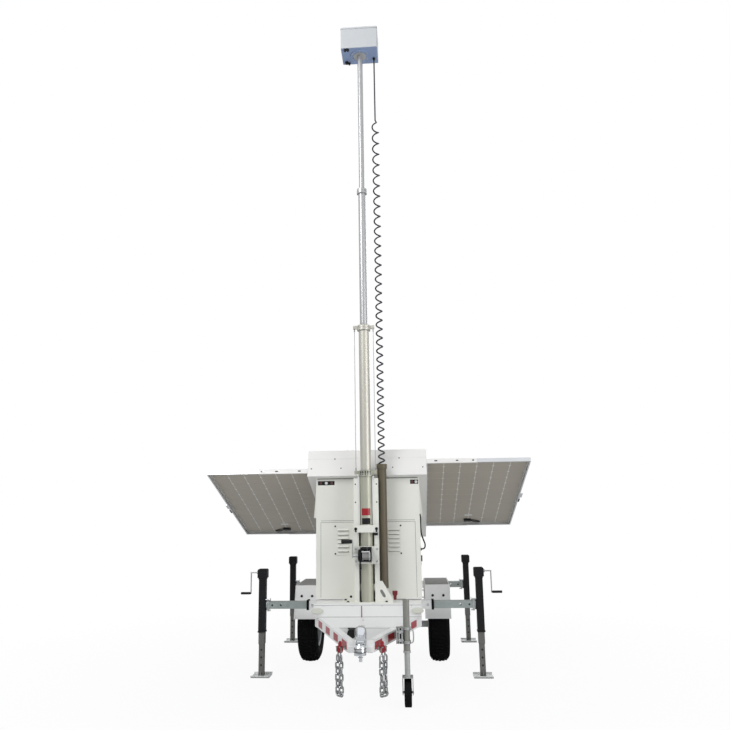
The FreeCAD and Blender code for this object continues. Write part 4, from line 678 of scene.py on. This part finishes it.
# dark strips paint the shade along the cabinet front's fold lines
for x in (-FOLD_X, FOLD_X):
    cab.block((x - 0.001, CAB_FRONT - FOLD_T, CAB_Z + 0.01), (x + 0.001, CAB_FRONT, FOLD_ZS[0]), 1)
for z in FOLD_ZS:
    for side in (-1, 1):
        cab.flank(side, 0.106, FOLD_X - 0.001, (CAB_FRONT - FOLD_T, z - 0.001), (CAB_FRONT, z + 0.001), 1)
# a dark strip paints the shade under the housing's front edge
cab.block((-0.44, CAB_FRONT - 0.0012, 1.653), (0.44, CAB_FRONT, 1.674), 7)
# grey strips paint the shade beneath each louvre
for x0, x1 in LOUVRE_SPANS:
    for k in range(LOUVRE_COUNT):
        z = LOUVRE_TOP - LOUVRE_STEP * k
        cab.block((x0, LOUVRE_Y + 0.006, z - 0.008), (x1, LOUVRE_Y + 0.008, z + 0.008), 6)
# dark backs paint the shade inside the plugged slots
for x0, x1 in SLOT_SPANS:
    cab.block((x0 - 0.004, CAB_FRONT + 0.012, 1.598), (x1 + 0.004, CAB_FRONT + 0.014, 1.642), 1)
    count = round((x1 - x0) / PLUG_STEP)
    for k in range(count):
        x = x0 + (x1 - x0) * (k + 0.5) / count
        cab.bolt((x, CAB_FRONT + 0.012, 1.62), -Y, 0.009, 0.009, 4 if k == 1 else 5)
for _, side in SIDES:
    for low, high in bars_round(DOOR_LOW, DOOR_HIGH, SEAL_W):
        cab.flank(side, CAB_X, CAB_X + 0.0015, low, high, 2)
for z, xs in ((1.05, (-0.33, 0.0, 0.33)), (0.72, (-0.42, 0.42)), (1.02, (-0.42, 0.42))):
    for x in xs:
        cab.rivet((x, CAB_REAR, z), Y, 0.005)
cab.block((-CAB_X + 0.002, CAB_FRONT - 0.0006, 0.6452), (CAB_X - 0.002, CAB_FRONT + 0.002, 0.6512), 4)
cab.build("cabinet_trim", "root",
          [BRIGHT, PAINTED_HOLLOW_SHADE, SEAL, PLASTIC, WHITE, VENT_BROWN, LOUVRE_PAINTED_SHADE, HOUSING_EDGE_PAINTED_SHADE])

LOCK_OUT = 0.004
for name, side in SIDES:
    lock = Shape()
    lock.flank(side, CAB_X, CAB_X + LOCK_OUT, (0.085, 0.885), (0.135, 0.975))
    lock.flank(side, CAB_X + LOCK_OUT, CAB_X + 0.016, (0.1, 0.915), (0.12, 0.968))
    lock.rod((side * (CAB_X + LOCK_OUT), 0.11, 0.898), X * side, 0.008, 0.003, 20, 1)
    for y in (0.075, 0.843):
        lock.flank(side, CAB_X, CAB_X + 0.003, (y - 0.002, 0.792), (y + 0.002, 1.038), 2)
    lock.build("door_lock_" + name, "door_" + name, [PLASTIC, BRIGHT, CABINET], (), 0.0012)

# Panel lead at the cabinet's right front edge

LEAD_ENDS = (1.335, 1.05)
side_lead = smooth_route([(0.452, -0.352, LEAD_ENDS[0]), (0.458, -0.351, 1.33), (0.455, -0.35, 1.2),
                          (0.47, -0.349, 1.14), (0.492, -0.348, 1.09), (0.484, -0.349, 1.055),
                          (0.458, -0.35, 1.052), (0.452, -0.352, LEAD_ENDS[1])])
lead = Shape()
lead.sweep(side_lead, 0.006, 10)
for z in LEAD_ENDS:
    lead.lathe((CAB_X, -0.352, z), X, [(0, 0.012), (0.004, 0.012), (0.006, 0.009), (0.008, 0.008)], 18)
lead.build("panel_lead", "root", [PLASTIC])

# Mast: collar bands, screws and seals, blank labels, bracket screws

BODY_OF_TUBE = ("root", "stage_2", "stage_3")
LOW_SCREWS = ((1.7, 0.005), (1.683, 0.0035))
for index, (top, body) in enumerate(zip(COLLAR_TOPS, BODY_OF_TUBE)):
    collar = Shape()
    outer = TUBE_RS[index] + COLLAR_OUT
    inner = TUBE_RS[index + 1]
    band = [(0, outer - 0.004), (0.001, outer + 0.0015), (0.004, outer + 0.0015), (0.005, outer - 0.004)]
    for low in (-0.003, 0.018):
        collar.lathe(on_mast(top - COLLAR_H + low), Z, band, 40, 0, True)
    for degrees in (45, 135, 225, 315):
        out = outward(degrees)
        collar.bolt(on_mast(top - 0.014) + out * (outer - 0.001), out, 0.005, 0.006, 1)
    seal = [(0, outer - 0.004), (0.003, outer - 0.006), (0.003, inner + 0.0015), (0, inner + 0.0015)]
    collar.lathe(on_mast(top), Z, seal, 40, 2, True)
    if index == 0:
        for degrees in (-128, -110, -90, -70, -52):
            out = outward(degrees)
            for z, size in LOW_SCREWS:
                collar.bolt(on_mast(z) + out * (outer - 0.0005), out, size, 0.005, 2)
    collar.build("collar_trim_%d" % (index + 1), body, [ZINC, BRIGHT, PLASTIC])

labels = Shape()


def bent_label(z0, z1, x0, x1, kind):
    # a thin label that follows the base tube
    radius = TUBE_RS[0] + 0.0004
    count = 10
    points = []
    for z in (z0, z1):
        for k in range(count + 1):
            x = x0 + (x1 - x0) * k / count
            points.append((x, MAST_Y - math.sqrt(radius * radius - x * x), z))
    faces = [(k, k + 1, k + count + 2, k + count + 1) for k in range(count)]
    labels.add(points, faces, kind)


bent_label(1.341, 1.399, -0.036, 0.036, 0)
bent_label(1.268, 1.319, -0.034, 0.035, 1)
labels.build("blank_labels", "root", [TAPE_RED, PLASTIC])

bracket = Shape()
STRAP_Y, STRAP_BOLT_X, FOOT_BOLT_Z = -0.5808, 0.087, 0.648
for side in (-1, 1):
    bracket.bolt((side * STRAP_BOLT_X, STRAP_Y, 1.232), -Y, 0.0085, 0.01)
    bracket.bolt((side * STRAP_BOLT_X, STRAP_Y, 1.213), -Y, 0.0055, 0.007)
    bracket.bolt((side * 0.158, -0.558, FOOT_BOLT_Z), Z, 0.009, 0.009)
    bracket.bolt((side * 0.19, -0.43, FOOT_BOLT_Z), Z, 0.009, 0.009)
    for z in (1.45, 1.6):
        bracket.rivet((side * 0.09, LIP_Y, z), -Y, 0.006)
    bracket.flank(side, 0.0535, 0.0695, (LIP_Y + 0.0022, 1.262), (LIP_Y + 0.03, 1.668), 2)
# a dark sheet paints the shade in a slot that leans in the bracket's foot
LEAN_IN, LEAN_UP = 0.521, 0.854
slot_back = [(0.128 - LEAN_IN * a + LEAN_UP * b, LIP_Y + 0.0062, 0.712 + LEAN_UP * a + LEAN_IN * b)
             for a, b in ((-0.04, -0.016), (0.04, -0.016), (0.04, 0.016), (-0.04, 0.016))]
bracket.prism(slot_back, (0, 0.001, 0), 1)
bracket.block((0.066, STRAP_Y - 0.01, 1.178), (0.098, STRAP_Y, 1.2))
bracket.bolt((-0.135, LIP_Y, 0.689), -Y, 0.007, 0.007)
lead_run = [(-0.046, -0.56, 0.66), (-0.05, -0.566, 0.62), (-0.052, -0.575, 0.66), (-0.054, -0.577, 0.75),
            (-0.056, -0.575, 0.95)]
bracket.sweep(smooth_route(lead_run), 0.003, 8)
bracket.build("bracket_screws", "root", [PLASTIC, FOLD_PAINTED_SHADE, WHITE])

# Winch: drum with wound strap, gear with teeth, crank arm and grip

winch = Shape()
WINCH_Y, WINCH_Z, PLATE_Y, TEETH = -0.6281, 1.02, -0.5781, 26


def on_winch(x, forward=0.0, up=0.0):
    return Vector((x, WINCH_Y - forward, WINCH_Z + up))


winch.ring(on_winch(-0.0235), X, 0.024, 0.034, 0.047)
for x in (-0.0283, 0.0237):
    winch.ring(on_winch(x), X, 0.024, 0.0405, 0.0046, 32, 1)
for out in circle(Y, Z, TEETH):
    at = on_winch(-0.0555) + out * 0.0478
    winch.sweep([at, at + X * 0.011], 0.0028, 6, 2)
for side in (-1, 1):
    for z in (0.97, 1.07):
        winch.bolt((side * 0.0885, PLATE_Y, z), -Y, 0.0065, 0.007, 4)
winch.rod(on_winch(0.045), X, 0.013, 0.006, 18, 1, 0.002)
winch.rod(on_winch(-0.115), X, 0.0125, 0.058, 20, 1, 0.002)
winch.block(on_winch(-0.1145, 0.0125, -0.018), on_winch(-0.1075, -0.0125, 0.128), 1)
winch.rod(on_winch(-0.204, up=0.113), X, 0.0165, 0.089, 24, 3, 0.005)
winch.lathe(on_winch(-0.064), X, [(0, 0.04), (0.002, 0.046), (0.006, 0.046), (0.006, 0.012)], 32, 2)
winch.block(on_winch(-0.034, 0.046, 0.03), on_winch(0.034, 0.042, 0.037), 5)
winch.block(on_winch(0.031, 0.046, -0.03), on_winch(0.036, 0.042, 0.03), 5)
lever = [on_winch(-0.047, 0.03, -0.025), on_winch(-0.046, 0.034, -0.065), on_winch(-0.041, 0.032, -0.105)]
winch.sweep(lever, 0.0065, 10, 2)
strap_edge = [on_winch(0.01, 0.034, 0.01), on_winch(0.012, 0.02, 0.08), (0.012, -0.5835, 1.2)]
winch.sweep(strap_edge, 0.0022, 8)
winch.build("winch_detail", "root",
            [STRAP_GREY, ZINC, BLACK, PLASTIC, BRIGHT, WHITE], (), 0.0008)

# Head box: base plate and flange in a blue-grey that paints the sky's reflection and shade, glands, lid seam
# as a band of painted shade, screws

head = Shape()


def head_slab(grow, low, high, kind):
    # a flat block that follows the head box's outline
    x, y = HEAD_X + grow, HEAD_Y + grow
    head.block((-x, MAST_Y - y, low), (x, MAST_Y + y, high), kind)


# base plate and flange in the blue-grey of painted sky reflection and shade
head_slab(-0.004, HEAD_Z - 0.0012, HEAD_Z, 0)
flange = [(0, 0.092), (0.006, 0.09), (0.006, 0.062), (0, 0.062)]
head.lathe(on_mast(HEAD_Z - 0.0013), -Z, flange, 48, 0, True)
for k in range(6):
    at = on_mast(HEAD_Z - 0.007) + outward(30 + 60 * k) * 0.078
    head.bolt(at, -Z, 0.005, 0.005, 1)
GLANDS = ((-0.135, -0.105, 0.013), (-0.11, -0.108, 0.014), (-0.135, 0.085, 0.018), (-0.112, 0.1, 0.012))
for x, y, r in GLANDS:
    gland = [(0, r), (0.012, r), (0.014, r * 0.8), (0.022, r * 0.7)]
    head.lathe((x, MAST_Y + y, HEAD_Z - 0.001), -Z, gland, 20, 2)
gland = [(0, 0.0145), (0.01, 0.0145), (0.014, 0.0115), (0.024, 0.01), (0.024, 0.0082), (0, 0.0082)]
head.lathe((CABLE_X, CABLE_Y, HEAD_Z - 0.001), -Z, gland, 24, 2, True)
for side in (-1, 1):
    for y in (-0.105, 0.105):
        head.rivet((side * HEAD_X, MAST_Y + y, HEAD_Z + 0.205), X * side, 0.004, 1)
# a dark band paints the shade in the lid seam
seam = HEAD_Z + HEAD_H - 0.018
head_slab(0.0007, seam - 0.0008, seam + 0.0008, 3)
head.build("head_detail", "stage_4", [HEAD_BASE_PAINTED_SKY, BRIGHT, PLASTIC, PAINTED_HOLLOW_SHADE])

# Jacks, arms and legs: crank rods, square rings, locking pins, foot gussets

CRANK_LOW, CRANK_TOP, CRANK_R = 0.682, 0.856, 0.0053
ARM_END, ARM_HALF, FOOT_T, RECEIVER_X = 0.896, 0.034, 0.008, 0.53
JACK_RING = bars_round((-0.0302, -0.0302), (0.0302, 0.0302), 0.0033)
RECEIVER_RING = bars_round((-0.031, -0.031), (0.031, 0.031), 0.009)
for tag, y, side in CORNERS:
    axis = Vector((side * JACK_X, y, 0))
    jack = Shape()
    if tag.startswith("front"):
        away, reach, first, grip = X * side, 0.1055, 0.042, X * side
    else:
        away, reach, first, grip = Y, 0.065, 0.0375, -Z
    drop = axis + away * reach + Z * CRANK_LOW
    boss = axis + away * first + Z * CRANK_TOP
    jack.rod(drop + grip * 0.006, grip, 0.0105, 0.083, 24, 0, 0.003)
    jack.rod(boss, away, 0.013, 0.012, 20, 3, 0.002)
    jack.rod(boss + away * 0.012, away, CRANK_R, reach + CRANK_R - first - 0.012, 14, 3)
    jack.rod(drop - Z * 0.0045, Z, CRANK_R, 0.183, 14, 3)
    for z in (0.366, 0.806):
        for low, high in JACK_RING:
            jack.block(axis + Vector((*low, z - 0.006)), axis + Vector((*high, z + 0.006)), 2)
    for k in range(4):
        turn = math.radians(45 + 90 * k)
        at = (side * (JACK_X - 0.0305), y + 0.033 * math.cos(turn), ARM_Z + 0.033 * math.sin(turn))
        jack.bolt(at, X * side, 0.004, 0.002, 1)
    jack.build("jack_trim_" + tag, "jack_" + tag, [PLASTIC, BRIGHT, BLACK, ZINC], (), 0.0015)

    pin = Shape()
    face = ARM_END - 0.016
    pin.flank(side, face, ARM_END, (y - ARM_HALF, ARM_Z - ARM_HALF), (y + ARM_HALF, ARM_Z + ARM_HALF))
    for way in (-1, 1):
        z0, z1 = sorted((ARM_Z + way * ARM_HALF, ARM_Z + way * 0.05))
        pin.flank(side, face, ARM_END, (y - 0.03, z0), (y - 0.016, z1))
        at = (side * (ARM_END - 0.03), y - 0.023, ARM_Z + way * 0.043)
        pin.rod(at, X * side, 0.0065, 0.029, 16, 1, 0.001)
    pin.rod((side * (ARM_END - 0.026), y - ARM_HALF, ARM_Z + 0.046), X * side, 0.006, 0.04, 16, 1, 0.001)
    pull = Vector((side * (ARM_END - 0.028), y - ARM_HALF, ARM_Z + 0.046))
    pin.sweep([pull + out * 0.014 for out in circle(Y, Z, 20)], 0.0016, 6, 1, True)
    # a dark rod paints the shade inside the pin hole
    pin.rod((side * 0.852, y - 0.0315, ARM_Z), Y, 0.0082, 0.063, 18, 2)
    pin.build("arm_trim_" + tag, "arm_" + tag, [ZINC, BRIGHT, PAINTED_HOLLOW_SHADE], (), 0.0012)

    leg = Shape()
    # dark discs paint the shade in the leg's holes
    for way in (-1, 1):
        for z in (0.095, 0.157, 0.219):
            leg.rod(axis + Y * way * 0.0231 + Z * z, Y * -way, 0.0084, 0.002, 20, 1)
    x0, x1 = axis.x - 0.003, axis.x + 0.003
    for way in (-1, 1):
        near, far = y + way * 0.023, y + way * 0.058
        leg.block((x0, near, FOOT_T), (x1, y + way * 0.055, FOOT_T + 0.002))
        leg.prism([(x0, near, 0.009), (x0, near, 0.05), (x0, far, 0.009)], (x1 - x0, 0, 0))
    leg.build("leg_trim_" + tag, "leg_" + tag, [LEG_ZINC, PAINTED_HOLLOW_SHADE])

collars = Shape()
for _, y, side in CORNERS:
    for (y0, z0), (y1, z1) in RECEIVER_RING:
        collars.flank(side, RECEIVER_X, RECEIVER_X + 0.02, (y + y0, ARM_Z + z0), (y + y1, ARM_Z + z1))
    collars.bolt((side * (RECEIVER_X - 0.03), y - 0.0345, ARM_Z), -Y, 0.008, 0.01, 1)
collars.build("receiver_collars", "root", [RUBBER, BRIGHT], (), 0.002)

# Fenders: grit tops in a grey that paints the shade of the panels, bolts, rolled edge

FENDER_TOP, FENDER_LOW, FENDER_REACH, FENDER_BEND = 0.71, 0.43, 0.4, 0.3
FENDER_BOLT_Z = 0.62
for name, side in SIDES:
    fender = Shape()
    # a grit top whose grey paints the shade of the panels
    fender.flank(side, 0.487, 0.697, (0.122, FENDER_TOP), (0.696, FENDER_TOP + 0.0012))
    fall = (FENDER_BOLT_Z - FENDER_LOW) / (FENDER_TOP - FENDER_LOW)
    for x in (0.549, 0.645):
        for way in (-1, 1):
            y = AXLE_Y + way * (FENDER_REACH - (FENDER_REACH - FENDER_BEND) * fall + 0.001)
            fender.bolt((side * x, y, FENDER_BOLT_Z), Vector((0, way, 0.36)), 0.008, 0.008, 1)
    edge = [(-FENDER_REACH, FENDER_LOW), (-FENDER_BEND, FENDER_TOP), (FENDER_BEND, FENDER_TOP),
            (FENDER_REACH, FENDER_LOW)]
    fender.sweep([(side * 0.7035, AXLE_Y + dy, z) for dy, z in edge], 0.003, 8, 2)
    fender.build("fender_trim_" + name, "root", [GRIT_TOP_PAINTED_SHADE, PLASTIC, WHITE])

# Drawbar: tape squares, marker lenses, plug, coupler handle, platform trim

tape = Shape()
TAPE_HALF, TAPE_FRONT, TAPE_RED_LEN, TAPE_PITCH, TAPE_COUNT = 0.026, -1.291, 0.105, 0.198, 4
for side in (-1, 1):
    for k in range(TAPE_COUNT):
        start = TAPE_FRONT + TAPE_PITCH * k
        ends = (start, start + TAPE_RED_LEN, min(start + TAPE_PITCH, PLATFORM_Y - 0.002))
        for kind, (y0, y1) in enumerate(zip(ends, ends[1:])):
            square = [(side * beam_x(y), y, beam_middle(y) + way * TAPE_HALF)
                      for y, way in ((y0, -1), (y1, -1), (y1, 1), (y0, 1))]
            tape.prism(square, (side * 0.0008, 0, 0), kind)
tape.build("hazard_tape", "root", [TAPE_RED, TAPE_WHITE])

MARKER_X, MARKER_Y, MARKER_Z = 0.408, -0.6015, 0.585
front = Shape()
for side in (-1, 1):
    for wide, high, y, depth in ((0.05, 0.023, MARKER_Y, 0.0145), (0.043, 0.0184, MARKER_Y - 0.003, 0.004)):
        middle = Vector((side * MARKER_X, y, MARKER_Z))
        front.prism([middle + out for out in circle(X * wide, Z * high, 28)], (0, depth, 0))
front.build("marker_lenses", "root", [LENS_AMBER], (), 0.001)

plug = Shape()
plug_x, plug_y, plug_z = -0.095, DECK_Y - 0.052, 0.474
shell = [(0, 0.026), (0, 0.0335), (0.006, 0.0345), (0.03, 0.0345), (0.034, 0.031), (0.0517, 0.031),
         (0.0517, 0.001), (0.01, 0.001), (0.01, 0.026)]
plug.lathe((plug_x, plug_y, plug_z), Y, shell, 36, 0, True)
plug.block((-0.125, plug_y + 0.03, plug_z + 0.028), (-0.065, plug_y + 0.0517, plug_z + 0.036))
lid = [(0, 0.0005), (0, 0.031), (0.004, 0.034), (0.006, 0.034), (0.006, 0.0005)]
plug.lathe((plug_x, plug_y - 0.004, plug_z), Y, lid, 36, 0, True)
plug.block((-0.101, plug_y - 0.012, plug_z - 0.015), (-0.089, plug_y - 0.003, plug_z + 0.015))
plug.build("round_plug", "root", [PLASTIC], ["trailer_plug"], 0.0006)

nose = Shape()
COUPLER_Y = -1.359
COUPLER_RINGS = ((0.4225, 0.042), (0.444, 0.042), (0.472, 0.0285))
arch = [(-0.036, -1.312, 0.5), (-0.04, -1.311, 0.54), (-0.034, -1.31, 0.576), (0.0, -1.31, 0.582),
        (0.034, -1.31, 0.576), (0.04, -1.311, 0.54), (0.036, -1.312, 0.5)]
nose.sweep(smooth_route(arch), 0.0036, 10, 1)
nose.bolt((0, -1.323, 0.378), Z, 0.012, 0.012)
for y in (-1.285, -1.215):
    for side in (-1, 1):
        nose.bolt((side * 0.024, y, 0.516), Z, 0.008, 0.01)
# dark rings paint the shade in the coupler's grooves
for z, radius in COUPLER_RINGS:
    nose.ring((0, COUPLER_Y, z), Z, radius - 0.004, radius + 0.0014, 0.0035, 40, 2)
nose.build("coupler_detail", "root", [BRIGHT, TUBE_GREY, PAINTED_HOLLOW_SHADE])

deck = Shape()
# a dark grey strip paints the shade at the deck's front edge
deck.block((-0.19, DECK_Y - 0.0006, 0.505), (0.19, DECK_Y, 0.5065), 1)
deck.block((-0.0475, PLATFORM_Y - 0.004, 0.532), (-0.0425, PLATFORM_Y, 0.622), 2)
release_line = [(-0.045, PLATFORM_Y - 0.003, 0.532), (-0.026, -0.691, 0.527), (-0.03, DECK_Y + 0.004, 0.514)]
deck.sweep(release_line, 0.0016, 8, 3)
deck.rod((-0.026, -0.691, 0.524), Z, 0.006, 0.006, 14, 3)
for x in (-0.36, -0.12, 0.12, 0.36):
    deck.rivet((x, PLATFORM_Y, 0.625), -Y, 0.006)
# dark grey lines paint the shade along the platform's folded edges
for z in (0.538, 0.628):
    deck.block((-0.438, PLATFORM_Y - 0.0008, z - 0.0012), (0.438, PLATFORM_Y, z + 0.0012), 1)
deck.build("platform_trim", "root", [BRIGHT, FOLD_PAINTED_SHADE, DARK_RED, PLASTIC])

# Jockey: crank knob, clamp loop and rods, band rings, tyre and hub rings

jockey = Shape()
knob = [(0, 0.0115), (0.02, 0.0115), (0.032, 0.019), (0.054, 0.0195), (0.0565, 0.0165)]
jockey.lathe((JOCKEY_X - 0.078, JOCKEY_Y, 0.7462), Z, knob, 24)
loop = [(0.334, -1.165, 0.541), (0.366, -1.166, 0.541), (0.373, -1.166, 0.52), (0.373, -1.166, 0.466),
        (0.366, -1.166, 0.445), (0.334, -1.165, 0.445)]
jockey.sweep(smooth_route(loop), 0.0048, 10, 1)
# a dark plate paints the shade behind the clamp rods
jockey.block((0.2465, -1.1725, 0.444), (0.2995, -1.1705, 0.546), 3)
for x, size, kind in ((0.2525, 0.0055, 1), (0.268, 0.005, 2), (0.29, 0.006, 1)):
    jockey.rod((x, -1.176, 0.442), Z, size, 0.106, 16, kind, 0.002)
for z in (0.466, 0.524):
    jockey.block((0.247, -1.184, z - 0.006), (0.3, -1.1705, z + 0.006), 1)
    jockey.bolt((0.279, -1.184, z), -Y, 0.008, 0.01, 2)
for z in (0.4475, 0.5415):
    jockey.bolt((JOCKEY_X + 0.012, JOCKEY_Y - 0.031, z), -Y, 0.007, 0.008, 2)
for z, outer, height in ((0.439, 0.0315, 0.018), (0.533, 0.0315, 0.018), (0.375, 0.0275, 0.014)):
    jockey.ring((JOCKEY_X, JOCKEY_Y, z), Z, 0.0245, outer, height, 32, 1)
jockey.build("jockey_clamp", "root", [DARK_RED, ZINC, BRIGHT, PAINTED_HOLLOW_SHADE], (), 0.0006)

ROLLER_SIDE = [(0, 0.072), (0.002, 0.075), (0.003, 0.088), (0.001, 0.096), (-0.004, 0.0975)]
roller = Shape()
ROLLER_Y, ROLLER_Z = -1.096, 0.098
for way in (-1, 1):
    at = (JOCKEY_X + way * 0.023, ROLLER_Y, ROLLER_Z)
    roller.lathe(at, X * way, ROLLER_SIDE, 48)
    roller.lathe(at, X * way, [(0.0005, 0.026), (0.0022, 0.028), (0.0022, 0.068), (0.0005, 0.071)], 40, 1)
roller.build("jockey_tyre", "jockey_wheel", [RUBBER, BLACK])

# Tail lamps

TAIL_X, TAIL_Y = 0.395, 1.3985
tail = Shape()
for side in (-1, 1):
    for z, kind in ((0.587, 0), (0.545, 1)):
        tail.flank(side, TAIL_X - 0.04, TAIL_X + 0.04, (TAIL_Y, z), (TAIL_Y + 0.002, z + 0.038), kind)
    for way in (-1, 1):
        tail.rivet((side * TAIL_X + way * 0.036, TAIL_Y + 0.002, 0.585), Y, 0.003, 2)
tail.build("tail_lenses", "root", [LENS_RED, LENS_AMBER, BRIGHT], (), 0.001)

# Floor, light and camera

FLOOR = 40.0


def floor_material():
    # the camera sees an even glow that dims a little near the part, light falls on a plain floor
    material, tree, shader = new_material("pale_floor")
    feed(shader, {"Base Color": (0.68, 0.68, 0.68, 1), "Roughness": 0.85, "Specular IOR Level": 0.1})
    glow = add_node(tree, "Emission", {"Color": (1, 1, 1, 1)})
    where = add_node(tree, "NewGeometry")
    reach = add_node(tree, "VectorMath", {0: where["Position"]}, operation="LENGTH")
    fade = add_node(tree, "MapRange", {"Value": reach["Value"], "From Min": 1.0, "From Max": 4.5,
                                       "To Min": 0.93, "To Max": 1.0})
    ray = add_node(tree, "LightPath")
    share = add_node(tree, "Math", {0: ray["Is Camera Ray"], 1: fade["Result"]}, operation="MULTIPLY")
    mix = add_node(tree, "MixShader", {0: share[0], 1: shader.outputs["BSDF"], 2: glow["Emission"]})
    feed(tree.nodes["Material Output"], {"Surface": mix[0]})
    return material


floor_mesh = bpy.data.meshes.new("floor")
floor_mesh.from_pydata([(-FLOOR, -FLOOR, 0), (FLOOR, -FLOOR, 0), (FLOOR, FLOOR, 0), (-FLOOR, FLOOR, 0)], [],
                       [(0, 1, 2, 3)])
floor_mesh.materials.append(floor_material())
floor = new_object("floor", floor_mesh)

world = bpy.data.worlds.new("studio")
bpy.context.scene.world = world
world.use_nodes = True
tree = world.node_tree
soft = tree.nodes["Background"]
feed(soft, {"Color": (0.93, 0.96, 1.0, 1), "Strength": 0.5})
plain = add_node(tree, "Background", {"Color": (1, 1, 1, 1), "Strength": 1.0})
# polished metal sees a dark horizon under a lighter sky
way = add_node(tree, "TexCoord")
height = add_node(tree, "SeparateXYZ", {"Vector": way["Generated"]})["Z"]
band = tree.nodes.new("ShaderNodeValToRGB")
feed(band, {"Fac": height})
ramp = band.color_ramp.elements
ramp[0].position = 0.0
ramp[0].color = (0.1, 0.1, 0.1, 1)
ramp[1].position = 0.75
ramp[1].color = (0.95, 0.97, 1.0, 1)
ramp.new(0.22).color = (0.55, 0.56, 0.57, 1)
sheen = add_node(tree, "Background", {"Color": band.outputs["Color"]})
ray = add_node(tree, "LightPath")
seen = add_node(tree, "Math", {0: ray["Is Camera Ray"], 1: ray["Is Transmission Ray"]}, operation="MAXIMUM")
lit = add_node(tree, "MixShader", {0: ray["Is Glossy Ray"], 1: soft.outputs[0], 2: sheen[0]})
mix = add_node(tree, "MixShader", {0: seen[0], 1: lit[0], 2: plain[0]})
feed(tree.nodes["World Output"], {"Surface": mix[0]})


def lamp(name, at, aim, size, power):
    light = bpy.data.lights.new(name, "AREA")
    light.shape = "SQUARE"
    light.size = size
    light.energy = power
    holder = new_object(name, light)
    holder.location = at
    holder.rotation_euler = (Vector(aim) - Vector(at)).to_track_quat("-Z", "Y").to_euler()


lamp("key", (-4.5, -6.0, 7.5), (0, 0, 1.6), 4.0, 350)
lamp("fill", (6.0, -4.5, 3.2), (0, 0, 1.6), 5.0, 195)
lamp("back", (1.5, 7.0, 6.0), (0, 0, 2.0), 4.0, 180)

CAMERA_AT = Vector((0.3999, -6.3664, 1.4089))
YAW, PITCH, ROLL = 0.0672, 0.2069, -0.0145
# rows: to the right, ahead, up
axes = (Matrix.Rotation(ROLL, 3, "Y") @ Matrix.Rotation(-PITCH, 3, "X")) @ Matrix.Rotation(-YAW, 3, "Z")
lens = bpy.data.cameras.new("camera")
lens.lens = 33.389
lens.sensor_width = 36
camera = new_object("camera", lens)
turned = Matrix((axes[0], axes[2], -axes[1])).transposed().to_4x4()
camera.matrix_world = Matrix.Translation(CAMERA_AT) @ turned
bpy.context.scene.camera = camera
bpy.context.scene.view_settings.view_transform = "Standard"
